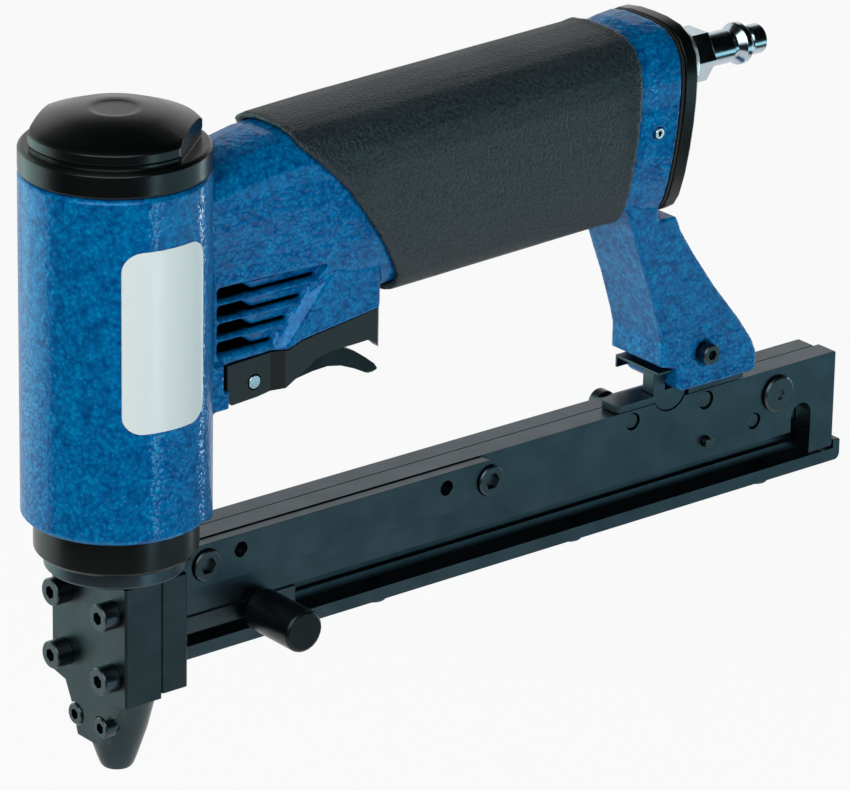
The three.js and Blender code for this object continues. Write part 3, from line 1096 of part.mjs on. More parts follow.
// Studs, pins and the disc in the near plate
const studs = [
  ['rear_pin', REAR_PIN_X, REAR_PIN_Z, REAR_PIN_R, STUD_SUNK],
  ['upper_set_screw', UPPER_SCREW_X, UPPER_SCREW_Z, UPPER_SCREW_R, STUD_SUNK],
  ['lower_stop_pin', LOWER_PIN_X, LOWER_PIN_Z, LOWER_PIN_R, -LOWER_PIN_PROUD],
  ['front_set_screw', FRONT_SCREW_X, FRONT_SCREW_Z, FRONT_SCREW_R, STUD_SUNK],
];
for (const [, x, z, r] of studs) {
  near = near.subtract(rod('y', r + GAP, MAG_NEAR_Y - CUT_OVERRUN, STUD_HOLE_END_Y, x, z));
}
near = near.subtract(rod('y', DISC_SHANK_R + GAP, MAG_NEAR_Y - CUT_OVERRUN, STUD_HOLE_END_Y, DISC_X, DISC_Z));
const farHoleEnd = MAG_FAR_Y - FAR_SCREW_LENGTH - GAP;
far = far.subtract(
  rod('y', FAR_SCREW_SHANK_R + GAP, farHoleEnd, MAG_FAR_Y + CUT_OVERRUN, FAR_SCREW_X, FAR_SCREW_Z),
);
add('magazine_near_plate', near, STEEL_BLUED, 0.36, 0.85);
add('magazine_far_plate', far, STEEL_BLUED, 0.36, 0.85);
add('magazine_rail', rail, STEEL_BLUED, 0.36, 0.85);
add('bracket_strip', strip, STEEL_BLUED, 0.34, 0.85);
stripScrews.forEach((solid, i) => add(`bracket_screw_${i + 1}`, solid, BLACK, 0.35, 0.8));
railScrews.forEach((solid, i) => add(`rail_screw_${i + 1}`, solid, BLACK, 0.35, 0.8));
for (const [name, x, z, r, sunk] of studs) {
  add(name, rod('y', r, MAG_NEAR_Y + sunk, STUD_END_Y, x, z, SEGMENTS_TINY), STEEL, 0.35, 0.9);
}
const discStep = DISC_PROUD * HALF_SHARE;
const discFace = MAG_NEAR_Y - GAP - DISC_PROUD;
add('pivot_disc', turned('y', [
  [0, discFace + discStep], [DISC_HOLE_R, discFace + discStep], [DISC_HOLE_R, discFace],
  [DISC_R - discStep, discFace], [DISC_R, discFace + discStep], [DISC_R, discFace + DISC_PROUD],
  [DISC_SHANK_R, discFace + DISC_PROUD], [DISC_SHANK_R, STUD_END_Y], [0, STUD_END_Y],
], SEGMENTS_SMALL, DISC_X, DISC_Z), BLACK, 0.35, 0.8);
add('far_side_screw', capScrew('y', FAR_SCREW_HEAD_R, FAR_SCREW_HEAD, FAR_SCREW_SHANK_R, FAR_SCREW_LENGTH,
  MAG_FAR_Y + THIN_GAP + FAR_SCREW_HEAD, -1, FAR_SCREW_X, FAR_SCREW_Z), BLACK, 0.35, 0.8);

// Pusher with its blade, knob and spring roll
let pusher = prism('x', cutRect(
  PUSHER_NEAR_Y, PUSHER_FAR_Y, PUSHER_BOTTOM_Z, PUSHER_TOP_Z, PUSHER_EDGE,
), PUSHER_FRONT_X, PUSHER_REAR_X);
pusher = pusher.add(box(
  PUSHER_BLADE_FRONT_X, PUSHER_BLADE_REAR_X,
  PUSHER_BLADE_Y - PUSHER_BLADE_HALF, PUSHER_BLADE_Y + PUSHER_BLADE_HALF,
  PUSHER_BOTTOM_Z + PUSHER_EDGE, PUSHER_BLADE_TOP_Z,
));
pusher = pusher.subtract(
  rod('y', KNOB_STUD_R + GAP, PUSHER_NEAR_Y - CUT_OVERRUN, KNOB_STUD_END_Y + GAP, KNOB_X, KNOB_Z),
);
const springPocketR = FEED_SPRING_R + GAP;
pusher = pusher.subtract(box(
  FEED_SPRING_X - springPocketR, PUSHER_REAR_X + CUT_OVERRUN,
  FEED_SPRING_NEAR_Y - GAP, FEED_SPRING_FAR_Y + GAP,
  FEED_SPRING_Z - springPocketR, FEED_SPRING_Z + springPocketR,
));
add('pusher', pusher, STEEL, 0.35, 0.85);
add('pusher_knob', turned('y', [
  [0, KNOB_END_Y], [KNOB_R - KNOB_EDGE, KNOB_END_Y], [KNOB_R, KNOB_END_Y + KNOB_EDGE],
  [KNOB_R, KNOB_ROOT_Y - KNOB_EDGE],
  [KNOB_R - KNOB_EDGE, KNOB_ROOT_Y], [KNOB_STUD_R, KNOB_ROOT_Y], [KNOB_STUD_R, KNOB_STUD_END_Y],
  [0, KNOB_STUD_END_Y],
], SEGMENTS_MIDDLE, KNOB_X, KNOB_Z), BLACK, 0.4, 0.4);
add('feed_spring_roll', turned('y', [
  [FEED_SPRING_INNER_R, FEED_SPRING_NEAR_Y], [FEED_SPRING_R, FEED_SPRING_NEAR_Y],
  [FEED_SPRING_R, FEED_SPRING_FAR_Y],
  [FEED_SPRING_INNER_R, FEED_SPRING_FAR_Y],
], SEGMENTS_SMALL, FEED_SPRING_X, FEED_SPRING_Z), STEEL, 0.3, 1);

// Hanger, bar, post, clip and foot screw
let hanger = box(
  HANGER_FRONT_X, HANGER_REAR_X, -HANGER_HALF, HANGER_HALF, HANGER_BOTTOM_Z, HANGER_TOP_Z - THIN_GAP,
);
hanger = hanger.add(
  box(HANGER_FRONT_X, TONGUE_REAR_X, -TONGUE_HALF, TONGUE_HALF, HANGER_BOTTOM_Z, TONGUE_TOP_Z),
);
hanger = hanger.add(
  box(TONGUE_FRONT_X, HANGER_FRONT_X + GAP, -TONGUE_HALF, TONGUE_HALF, LEG_LOW_Z, TONGUE_TOP_Z),
);
hanger = hanger.subtract(rod(
  'y', FOOT_SCREW_SHANK_R + GAP, -TONGUE_HALF - CUT_OVERRUN, TONGUE_HALF + CUT_OVERRUN,
  FOOT_SCREW_X, FOOT_SCREW_Z,
));
add('magazine_hanger', hanger, BLACK, 0.4, 0.7);
let bar = prism(
  'z', cutRect(BAR_FRONT_X, BAR_REAR_X, BAR_NEAR_Y, BAR_FAR_Y, BAR_EDGE), BAR_BOTTOM_Z, BAR_TOP_Z,
);
bar = bar.subtract(postPocket);
add('hanger_bar', bar, BLACK, 0.35, 0.8);
const postOutline = [];
for (let i = 0; i <= SEGMENTS_SMALL; i += 1) {
  const angle = Math.PI * (1 + i / SEGMENTS_SMALL);
  postOutline.push([POST_X + POST_R * Math.cos(angle), POST_Z + POST_R * Math.sin(angle)]);
}
postOutline.push(
  [POST_X + POST_R, LEG_LOW_Z - GAP], [POST_NECK_X, LEG_LOW_Z - GAP],
  [POST_NECK_X, CLIP_TOP_Z - CLIP_THICK - GAP], [POST_X - POST_R, CLIP_TOP_Z - CLIP_THICK - GAP],
);
add('hanger_post', prism('y', postOutline, POST_NEAR_Y, POST_FAR_Y), BLACK, 0.45, 0.5);
add('leg_clip', prism('x', [
  [CLIP_NEAR_Y, CLIP_TOP_Z], [CLIP_NEAR_Y, CLIP_TOP_Z - CLIP_THICK],
  [CLIP_FAR_Y - CLIP_THICK, CLIP_TOP_Z - CLIP_THICK],
  [CLIP_FAR_Y - CLIP_THICK, CLIP_TOP_Z - CLIP_CURL], [CLIP_FAR_Y, CLIP_TOP_Z - CLIP_CURL],
  [CLIP_FAR_Y, CLIP_TOP_Z],
], CLIP_FRONT_X, CLIP_REAR_X), STEEL, 0.3, 0.9);
const footScrew = capScrew(
  'y', FOOT_SCREW_HEAD_R, FOOT_SCREW_HEAD - THIN_GAP, FOOT_SCREW_SHANK_R, FOOT_SCREW_LENGTH,
  -LEG_HALF + FOOT_BORE_DEPTH - FOOT_SCREW_HEAD, 1, FOOT_SCREW_X, FOOT_SCREW_Z,
);
add('foot_screw', footScrew, BLACK, 0.35, 0.8);

// Rubber sleeve on the handle
let grip = grownLoft(GRIP_X, GRIP_GROWTH);
const gripFront = shares(GRIP_CUT_SHARES, SLEEVE_FRONT_TOP_X, SLEEVE_FRONT_LOW_X - SLEEVE_FRONT_TOP_X,
  GRIP_CUT_LOW_Z, GRIP_CUT_RISE);
grip = grip.intersect(prism('y', [
  [SLEEVE_FRONT_TOP_X, SLEEVE_CUT_HIGH_Z], ...gripFront, [SLEEVE_FRONT_LOW_X, SLEEVE_CUT_LOW_Z],
  [SLEEVE_REAR_X, SLEEVE_CUT_LOW_Z], [SLEEVE_REAR_X, SLEEVE_CUT_HIGH_Z],
].reverse(), -HEAD_R - HEAD_R, HEAD_R + HEAD_R));
grip = grip.subtract(castLoft(GAP)).subtract(neckBlock(GAP));
add('grip_sleeve', grip, RUBBER, 0.85, 0);

// Rear end: gasket, cap, roll pin, inlet flange and nipple
const last = CAST_X[CAST_X.length - 1];
const tailGrowth = TAIL_GROWTH[TAIL_GROWTH.length - 1];
const inletHole = rod(
  'x', NIPPLE_SHANK_R + GAP, HANDLE_REAR_X, END_CAP_REAR_X + CUT_OVERRUN, 0, INLET_Z, SEGMENTS_MIDDLE,
);
const gasketFrom = HANDLE_REAR_X + GAP;
let gasket = skin([handleRing(gasketFrom, last, tailGrowth - THIN_GAP, 1), handleRing(
  gasketFrom + GASKET_THICK, last, tailGrowth - THIN_GAP, 1,
)]);
add('end_cap_gasket', gasket.subtract(inletHole), BLACK, 0.85, 0);
let endCap = skin([
  handleRing(END_CAP_FRONT_X, last, tailGrowth, 1),
  handleRing(END_CAP_REAR_X - END_CAP_EDGE, last, tailGrowth, 1),
  handleRing(END_CAP_REAR_X, last, tailGrowth - END_CAP_EDGE, 1),
]);
add('handle_end_cap', endCap.subtract(inletHole), BLACK, 0.4, 0.3);
const pinFace = -SLOT_OUTER_Y + THIN_GAP;
add('roll_pin', turned('y', [
  [ROLL_PIN_BORE_R, pinFace], [ROLL_PIN_R, pinFace], [ROLL_PIN_R, pinFace + ROLL_PIN_DEPTH - GAP],
  [ROLL_PIN_BORE_R, pinFace + ROLL_PIN_DEPTH - GAP],
], SEGMENTS_TINY, ROLL_PIN_X, ROLL_PIN_Z), STEEL, 0.3, 1);
add('inlet_flange', turned('x', [
  [FLANGE_HOLE_R, END_CAP_REAR_X + GAP], [FLANGE_R, END_CAP_REAR_X + GAP],
  [FLANGE_R, END_CAP_REAR_X + CUT_OVERRUN],
  [FLANGE_REAR_R, FLANGE_REAR_X], [FLANGE_HOLE_R, FLANGE_REAR_X],
], SEGMENTS_MIDDLE, 0, INLET_Z), ALUMINIUM, 0.35, 0.9);
let nipple = turned('x', [
  [0, NIPPLE_SHANK_FRONT_X], [NIPPLE_SHANK_R, NIPPLE_SHANK_FRONT_X],
  [NIPPLE_SHANK_R, NIPPLE_HEX_FRONT_X + GAP],
  [NIPPLE_STEM_R, NIPPLE_HEX_FRONT_X + GAP], [NIPPLE_STEM_R, NIPPLE_STEM_REAR_X],
  [NIPPLE_WAIST_R, NIPPLE_STEM_REAR_X + GAP],
  [NIPPLE_WAIST_R, NIPPLE_WAIST_REAR_X], [NIPPLE_COLLAR_R, NIPPLE_COLLAR_FRONT_X],
  [NIPPLE_COLLAR_R, NIPPLE_COLLAR_REAR_X],
  [NIPPLE_GROOVE_R, NIPPLE_GROOVE_X], [NIPPLE_TIP_R, NIPPLE_TIP_FRONT_X], [NIPPLE_TIP_R, NIPPLE_TIP_REAR_X],
  [NIPPLE_TIP_END_R, NIPPLE_END_X], [0, NIPPLE_END_X],
], SEGMENTS_MIDDLE, 0, INLET_Z);
const hexOutline = circle(0, INLET_Z, NIPPLE_HEX_R, HEX_SIDES);
nipple = nipple.add(prism('x', hexOutline, NIPPLE_HEX_FRONT_X, NIPPLE_HEX_REAR_X));
nipple = nipple.subtract(
  rod('x', NIPPLE_BORE_R, NIPPLE_SHANK_FRONT_X - CUT_OVERRUN, NIPPLE_END_X + CUT_OVERRUN, 0, INLET_Z),
);
add('air_nipple', nipple, ZINC, 0.25, 1);

// Trigger housing, trigger, pin and trigger valve
const upper = [
  [BLOCK_REAR_X, NECK_BOTTOM_REAR_Z - GAP], [NECK_BOTTOM_STEP_X, NECK_BOTTOM_STEP_Z - GAP],
  [NECK_BOTTOM_MIDDLE_X, NECK_BOTTOM_MIDDLE_Z - GAP], [BLOCK_FRONT_X, NECK_BOTTOM_Z - GAP],
];
const lower = shares(BLOCK_LOWER_SHARES, BLOCK_FRONT_X, BLOCK_SPAN, BLOCK_LOW_Z, BLOCK_RISE);
let guard = prism('y', [
  ...lower, ...upper, [BLOCK_FRONT_X, BLOCK_LOW_Z + BLOCK_FRONT_SHARE * BLOCK_RISE],
], -SLOT_OUTER_Y, SLOT_OUTER_Y);
const guardHalf = [
  [BLOCK_FRONT_X, BLOCK_HALF], [BLOCK_SPLIT_X, BLOCK_HALF], [BLOCK_SPLIT_X + NECK_FLARE, BLOCK_REAR_HALF],
  [BLOCK_REAR_X - LEG_EDGE, BLOCK_REAR_HALF], [BLOCK_REAR_X, BLOCK_REAR_HALF - LEG_EDGE],
];
const guardPlan = [...guardHalf.map(([x, y]) => [x, -y]), ...guardHalf.slice().reverse()];
guard = guard.intersect(prism('z', guardPlan, BLOCK_LOW_Z - CUT_OVERRUN, NECK_BOTTOM_REAR_Z + CUT_OVERRUN));
guard = guard.subtract(prism('y', [
  [BLOCK_CHANNEL_FRONT_X, BLOCK_LOW_Z - CUT_OVERRUN], [BLOCK_CHANNEL_REAR_X, BLOCK_LOW_Z - CUT_OVERRUN],
  [BLOCK_CHANNEL_REAR_X, BLOCK_CEILING_Z], [BLOCK_CEILING_REAR_X, BLOCK_CEILING_Z],
  [BLOCK_CEILING_MIDDLE_X, BLOCK_CEILING_MIDDLE_Z], [BLOCK_CHANNEL_FRONT_X, BLOCK_CEILING_FRONT_Z],
], -BLOCK_CHANNEL_HALF, BLOCK_CHANNEL_HALF));
guard = guard.subtract(
  rod('y', TRIGGER_PIN_R + GAP, -SLOT_OUTER_Y, SLOT_OUTER_Y, TRIGGER_PIN_X, TRIGGER_PIN_Z),
);
guard = guard.subtract(rod(
  'z', VALVE_BORE_R, VALVE_BODY_BOTTOM_Z - GAP, NECK_BOTTOM_REAR_Z + CUT_OVERRUN, VALVE_X, 0, SEGMENTS_MIDDLE,
));
guard = guard.subtract(
  rod('z', VALVE_STEM_HOLE_R, BLOCK_LOW_Z, VALVE_BODY_BOTTOM_Z + CUT_OVERRUN, VALVE_X, 0),
);
add('trigger_housing', guard, BLACK, 0.5, 0.1);
let trigger = prism('y', shares(
  TRIGGER_OUTLINE_SHARES, TRIGGER_LEFT_X, TRIGGER_SPAN, TRIGGER_LOW_Z, TRIGGER_RISE,
), -TRIGGER_HALF, TRIGGER_HALF);
const triggerPlan = cutRect(
  -TRIGGER_HALF, TRIGGER_HALF, TRIGGER_LOW_Z, TRIGGER_LOW_Z + TRIGGER_RISE, TRIGGER_EDGE,
);
trigger = trigger.intersect(
  prism('x', triggerPlan, TRIGGER_LEFT_X - CUT_OVERRUN, TRIGGER_LEFT_X + TRIGGER_SPAN + CUT_OVERRUN),
);
trigger = trigger.subtract(
  rod('y', TRIGGER_PIN_R + GAP, -SLOT_OUTER_Y, SLOT_OUTER_Y, TRIGGER_PIN_X, TRIGGER_PIN_Z),
);
add('trigger', trigger, BLACK, 0.42, 0.15);
add('trigger_pin', rod(
  'y', TRIGGER_PIN_R, -TRIGGER_PIN_HALF, TRIGGER_PIN_HALF, TRIGGER_PIN_X, TRIGGER_PIN_Z,
), STEEL, 0.25, 1);
add('trigger_valve_body', turned('z', [
  [0, VALVE_BODY_CEILING_Z], [VALVE_BODY_BORE_R, VALVE_BODY_CEILING_Z],
  [VALVE_BODY_BORE_R, VALVE_BODY_FLOOR_Z],
  [VALVE_BODY_GLAND_R, VALVE_BODY_FLOOR_Z], [VALVE_BODY_GLAND_R, VALVE_BODY_BOTTOM_Z],
  [VALVE_BODY_R, VALVE_BODY_BOTTOM_Z],
  [VALVE_BODY_R, VALVE_BODY_TOP_Z], [0, VALVE_BODY_TOP_Z],
], SEGMENTS_SMALL, VALVE_X, 0), BRASS, 0.35, 0.9);
add('trigger_valve_stem', turned('z', [
  [0, VALVE_STEM_BOTTOM_Z], [VALVE_STEM_R, VALVE_STEM_BOTTOM_Z], [VALVE_STEM_R, VALVE_HEAD_LOW_Z],
  [VALVE_HEAD_R, VALVE_HEAD_LOW_Z],
  [VALVE_HEAD_R, VALVE_HEAD_HIGH_Z], [VALVE_STEM_R, VALVE_HEAD_HIGH_Z],
  [VALVE_STEM_R, VALVE_STEM_TOP_Z], [0, VALVE_STEM_TOP_Z],
], SEGMENTS_TINY, VALVE_X, 0), STEEL, 0.25, 1);
const springRise = VALVE_SPRING_HIGH_Z - VALVE_SPRING_LOW_Z - 2 * VALVE_SPRING_WIRE_R;
const springRings = [];
for (let i = 0; i <= VALVE_SPRING_STEPS * VALVE_SPRING_TURNS; i += 1) {
  const share = i / (VALVE_SPRING_STEPS * VALVE_SPRING_TURNS);
  const t = share * VALVE_SPRING_TURNS * 2 * Math.PI;
  const z = VALVE_SPRING_LOW_Z + VALVE_SPRING_WIRE_R + share * springRise;
  const ring = [];
  for (let k = 0; k < WIRE_SIDES; k += 1) {
    const u = (k / WIRE_SIDES) * 2 * Math.PI;
    const r = VALVE_SPRING_R + VALVE_SPRING_WIRE_R * Math.cos(u);
    ring.push([VALVE_X + r * Math.cos(t), r * Math.sin(t), z + VALVE_SPRING_WIRE_R * Math.sin(u)]);
  }
  springRings.push(ring);
}
add('trigger_valve_spring', skin(springRings), STEEL, 0.3, 1);

// Bare label plate on the head
const labelShell = turned('z', [
  [HEAD_R + THIN_GAP, LABEL_LOW_Z], [HEAD_R + THIN_GAP + LABEL_THICK, LABEL_LOW_Z],
  [HEAD_R + THIN_GAP + LABEL_THICK, LABEL_HIGH_Z], [HEAD_R + THIN_GAP, LABEL_HIGH_Z],
], SEGMENTS_LARGE);
const labelFrom = HEAD_R * Math.cos(LABEL_FROM_SHARE * 2 * Math.PI);
const labelTo = HEAD_R * Math.cos(LABEL_TO_SHARE * 2 * Math.PI);
const labelOutline = roundRect(labelFrom, labelTo, LABEL_LOW_Z, LABEL_HIGH_Z, LABEL_CORNER, CORNER_STEPS);
add('label_plate', labelShell.intersect(prism('y', labelOutline, -HEAD_R - HEAD_R, 0)), PALE, 0.4, 0);

export default group;
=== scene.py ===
"""Looks of a pneumatic pin nailer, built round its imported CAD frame.

Lengths are written in millimetres and turned to metres by MM.
The frame has +X rearwards, +Y to the far side and +Z up along the driver, with the pin exit at the origin.
"""
import json
import math

import bmesh
import bpy
from mathutils import Matrix, Vector


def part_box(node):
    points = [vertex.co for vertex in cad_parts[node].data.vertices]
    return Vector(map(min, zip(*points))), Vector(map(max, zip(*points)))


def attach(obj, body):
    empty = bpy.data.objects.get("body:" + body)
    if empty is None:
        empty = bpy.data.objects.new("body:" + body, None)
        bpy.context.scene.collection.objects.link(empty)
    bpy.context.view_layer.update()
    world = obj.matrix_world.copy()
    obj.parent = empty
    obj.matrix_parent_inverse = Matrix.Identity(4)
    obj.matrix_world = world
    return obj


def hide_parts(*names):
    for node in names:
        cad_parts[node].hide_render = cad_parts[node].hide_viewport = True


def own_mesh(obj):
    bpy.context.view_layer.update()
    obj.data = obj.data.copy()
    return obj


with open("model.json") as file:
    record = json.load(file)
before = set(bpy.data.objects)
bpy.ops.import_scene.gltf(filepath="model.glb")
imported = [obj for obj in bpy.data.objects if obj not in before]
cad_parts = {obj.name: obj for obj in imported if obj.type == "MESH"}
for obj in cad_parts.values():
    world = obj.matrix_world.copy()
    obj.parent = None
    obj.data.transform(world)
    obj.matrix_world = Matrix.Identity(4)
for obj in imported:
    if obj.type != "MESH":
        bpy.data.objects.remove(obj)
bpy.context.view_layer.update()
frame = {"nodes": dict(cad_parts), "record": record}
MM = 0.001

BODY_OF = {node: body for body, nodes in frame["record"]["behaviour"]["bodies"].items() for node in nodes}
SLOT_OF = {row["node"]: row["material_slot"] for row in frame["record"]["subparts"]}


# Colours and nodes

def linear(hex_colour):
    """An sRGB hex colour such as 0x0A5AA5 as linear red, green and blue, with full alpha."""
    channels = [(hex_colour >> shift & 0xFF) / 255 for shift in (16, 8, 0)]
    return (*[c / 12.92 if c <= 0.04045 else ((c + 0.055) / 1.055) ** 2.4 for c in channels], 1.0)


def scale_for(size_mm):
    """The texture scale at which one feature has the given real size."""
    return 1 / (size_mm * MM)


def new_material(name):
    """A material with an empty node tree."""
    material = bpy.data.materials.new(name)
    material.use_nodes = True
    material.node_tree.nodes.clear()
    return material, material.node_tree


def put(tree, kind, inputs=None, stops=(), **settings):
    """Adds a node with its settings, the stops of its colour ramp, and its inputs.

    An input takes a value, a socket to link, or a node whose first output is linked.
    """
    made = tree.nodes.new(kind)
    for name, value in settings.items():
        setattr(made, name, value)
    for _ in stops[2:]:
        made.color_ramp.elements.new(0.5)
    for number, (position, hex_colour) in enumerate(stops):
        made.color_ramp.elements[number].position = position
        made.color_ramp.elements[number].color = linear(hex_colour)
    for name, value in (inputs or {}).items():
        if isinstance(value, bpy.types.Node):
            value = value.outputs[0]
        if isinstance(value, bpy.types.NodeSocket):
            tree.links.new(value, made.inputs[name])
        else:
            made.inputs[name].default_value = value
    return made


# Hammertone enamel on the casting

HAMMER_CELL_MM = 1.1
HAMMER_CELL_SOFT_SHARE = 0.6
HAMMER_DEPTH_MM = 0.075
HAMMER_SWIRL_MM = 0.7
HAMMER_SWIRL_SIZE_MM = 2.2
HAMMER_WAVE_MM = 3.2
HAMMER_WAVE_DEPTH_MM = 0.09
# Real flakes are about a tenth of this size. They are drawn as coarse as they need to be to show.
FLAKE_MM = 0.35
ENAMEL_TONES = [(0.0, 0x0098D0), (0.3, 0x007EBC), (0.6, 0x006AA8), (1.0, 0x004E8C)]
# The sum of cells, flakes and waves that gives the first tone, and the sum that gives the last
ENAMEL_TONE_RANGE = (0.9, 1.95)
ENAMEL_LACQUER_SHARE = 0.35
# Near-black painted shade that replaces the blue deep in the cooling slots
SLOT_SHADE_BLACK = 0x050607


def hammertone_enamel():
    """Hammertone stove enamel, sprayed on cast alloy and baked.

    The paint draws together in small glossy dimples with pigment gathered between them,
    so the blue is mottled and bright edges of light turn wavy.
    """
    material, tree = new_material("hammertone_blue_stove_enamel")
    place = put(tree, "ShaderNodeTexCoord").outputs["Object"]
    swirl = put(tree, "ShaderNodeTexNoise",
                {"Vector": place, "Scale": scale_for(HAMMER_SWIRL_SIZE_MM), "Detail": 2.0})
    centred = put(tree, "ShaderNodeVectorMath", {0: swirl.outputs["Color"], 1: (0.5, 0.5, 0.5)},
                  operation="SUBTRACT")
    pushed = put(tree, "ShaderNodeVectorMath", {0: centred, "Scale": 2 * HAMMER_SWIRL_MM * MM},
                 operation="SCALE")
    warped = put(tree, "ShaderNodeVectorMath", {0: place, 1: pushed}, operation="ADD")
    cells = put(tree, "ShaderNodeTexVoronoi",
                {"Vector": warped, "Scale": scale_for(HAMMER_CELL_MM), "Smoothness": HAMMER_CELL_SOFT_SHARE},
                feature="SMOOTH_F1")
    flakes = put(tree, "ShaderNodeTexNoise", {"Vector": place, "Scale": scale_for(FLAKE_MM), "Detail": 3.0})
    waves = put(tree, "ShaderNodeTexNoise",
                {"Vector": warped, "Scale": scale_for(HAMMER_WAVE_MM), "Detail": 1.0})

    mixed = put(tree, "ShaderNodeMath", {0: cells, 1: flakes}, operation="ADD")
    mixed = put(tree, "ShaderNodeMath", {0: mixed, 1: waves}, operation="ADD")
    first, last = ENAMEL_TONE_RANGE
    tone = put(tree, "ShaderNodeMapRange", {"Value": mixed, "From Min": first, "From Max": last})
    blue = put(tree, "ShaderNodeValToRGB", {"Fac": tone}, ENAMEL_TONES)
    # Painted shade in the cooling slots: deep in them the blue turns near black and the lacquer's gloss
    # fades out
    shade_in_slots = put(tree, "ShaderNodeAttribute", attribute_name="painted_slot_shade").outputs["Fac"]
    colour = put(tree, "ShaderNodeMix", {"Factor": shade_in_slots, "A": blue, "B": linear(SLOT_SHADE_BLACK)},
                 data_type="RGBA")
    lacquer = put(tree, "ShaderNodeMapRange", {"Value": shade_in_slots, "To Min": ENAMEL_LACQUER_SHARE, "To Max": 0.0})

    domes = put(tree, "ShaderNodeMath", {0: 1.0, 1: cells}, operation="SUBTRACT")
    dimpled = put(tree, "ShaderNodeBump",
                  {"Height": domes, "Distance": HAMMER_DEPTH_MM * MM, "Strength": 1.0})
    wavy = put(tree, "ShaderNodeBump",
               {"Height": waves, "Distance": HAMMER_WAVE_DEPTH_MM * MM, "Strength": 1.0, "Normal": dimpled})
    shader = put(tree, "ShaderNodeBsdfPrincipled",
                 {"Base Color": colour.outputs["Result"], "Metallic": 0.3, "Roughness": 0.46,
                  "Specular IOR Level": 0.05, "Coat Weight": lacquer, "Coat Roughness": 0.05,
                  "Coat IOR": 1.5, "Normal": wavy, "Coat Normal": wavy})
    put(tree, "ShaderNodeOutputMaterial", {"Surface": shader})
    return material


# Families of surfaces that differ in colour, grain and gloss

CLOUD_MM = 14.0
ROUGHNESS_SWING = 0.05


def grained(name, hex_colour, grain_mm, depth_mm, rough, other=None, contrast=0.12):
    """A moulded, oxidised or coated surface with a fine even grain and slightly uneven gloss.

    The grains given are a few times the real ones, which are finer than a pixel of the render.
    """
    material, tree = new_material(name)
    place = put(tree, "ShaderNodeTexCoord").outputs["Object"]
    grain = put(tree, "ShaderNodeTexNoise", {"Vector": place, "Scale": scale_for(grain_mm), "Detail": 2.0})
    cloud = put(tree, "ShaderNodeTexNoise", {"Vector": place, "Scale": scale_for(CLOUD_MM), "Detail": 2.0})
    value = put(tree, "ShaderNodeMapRange",
                {"Value": grain, "To Min": 1 - contrast * 2, "To Max": 1 + contrast * 2})
    colour = put(tree, "ShaderNodeHueSaturation", {"Color": linear(hex_colour), "Value": value})
    gloss = put(tree, "ShaderNodeMapRange",
                {"Value": cloud, "To Min": rough - ROUGHNESS_SWING, "To Max": rough + ROUGHNESS_SWING})
    normal = put(tree, "ShaderNodeBump", {"Height": grain, "Distance": depth_mm * MM, "Strength": 1.0})
    shader = put(tree, "ShaderNodeBsdfPrincipled",
                 {"Base Color": colour, "Roughness": gloss, "Normal": normal, **(other or {})})
    put(tree, "ShaderNodeOutputMaterial", {"Surface": shader})
    return material


# Length, width and height of one grinding mark. Real marks are about a tenth as wide, too fine to show.
GRIND_SIZES_MM = (14.0, 0.5, 0.5)
GRIND_DEPTH_MM = 0.006
GRIND_ROUGHNESS = (0.27, 0.42)
STAIN_MM = 9.0
STAIN_SHARES = (0.3, 0.7)


def ground_steel(name, dark, light):
    """Blackened tool steel, ground along its length: fine streaks that stretch each highlight."""
    material, tree = new_material(name)
    place = put(tree, "ShaderNodeTexCoord").outputs["Object"]
    along = put(tree, "ShaderNodeMapping",
                {"Vector": place, "Scale": [scale_for(size) for size in GRIND_SIZES_MM]})
    streaks = put(tree, "ShaderNodeTexNoise", {"Vector": along, "Scale": 1.0, "Detail": 3.0})
    stain = put(tree, "ShaderNodeTexNoise", {"Vector": place, "Scale": scale_for(STAIN_MM), "Detail": 3.0})
    colour = put(tree, "ShaderNodeValToRGB", {"Fac": stain}, list(zip(STAIN_SHARES, (dark, light))))
    smoothest, roughest = GRIND_ROUGHNESS
    gloss = put(tree, "ShaderNodeMapRange", {"Value": streaks, "To Min": smoothest, "To Max": roughest})
    normal = put(tree, "ShaderNodeBump",
                 {"Height": streaks, "Distance": GRIND_DEPTH_MM * MM, "Strength": 1.0})
    shader = put(tree, "ShaderNodeBsdfPrincipled",
                 {"Base Color": colour, "Metallic": 1.0, "Roughness": gloss, "Normal": normal})
    put(tree, "ShaderNodeOutputMaterial", {"Surface": shader})
    return material


# Pitch and depth of turning rings. Real ones are about 0.1 mm apart, too fine to show, so these are wider.
FINE_RINGS_MM = (0.35, 0.004)
COARSE_RINGS_MM = (0.5, 0.008)
TURNED_CLOUD_MM = 3.0
TURNED_SWING = 0.06
# With this scale one ring of the wave texture is one unit wide
ONE_RING_SCALE = 0.31
RING_WOBBLE = 0.6


def turned_metal(name, hex_colour, rough, axis, rings_mm=FINE_RINGS_MM):
    """Metal off the lathe: fine rings across the turning axis that spread each highlight along it."""
    pitch_mm, depth_mm = rings_mm
    material, tree = new_material(name)
    place = put(tree, "ShaderNodeTexCoord").outputs["Object"]
    rings = put(tree, "ShaderNodeTexWave",
                {"Vector": place, "Scale": ONE_RING_SCALE * scale_for(pitch_mm),
                 "Distortion": RING_WOBBLE, "Detail": 1.0}, bands_direction=axis)
    cloud = put(tree, "ShaderNodeTexNoise",
                {"Vector": place, "Scale": scale_for(TURNED_CLOUD_MM), "Detail": 2.0})
    gloss = put(tree, "ShaderNodeMapRange",
                {"Value": cloud, "To Min": rough - TURNED_SWING, "To Max": rough + TURNED_SWING})
    normal = put(tree, "ShaderNodeBump",
                 {"Height": rings.outputs["Fac"], "Distance": depth_mm * MM, "Strength": 1.0})
    shader = put(tree, "ShaderNodeBsdfPrincipled",
                 {"Base Color": linear(hex_colour), "Metallic": 1.0, "Roughness": gloss, "Normal": normal})
    put(tree, "ShaderNodeOutputMaterial", {"Surface": shader})
    return material


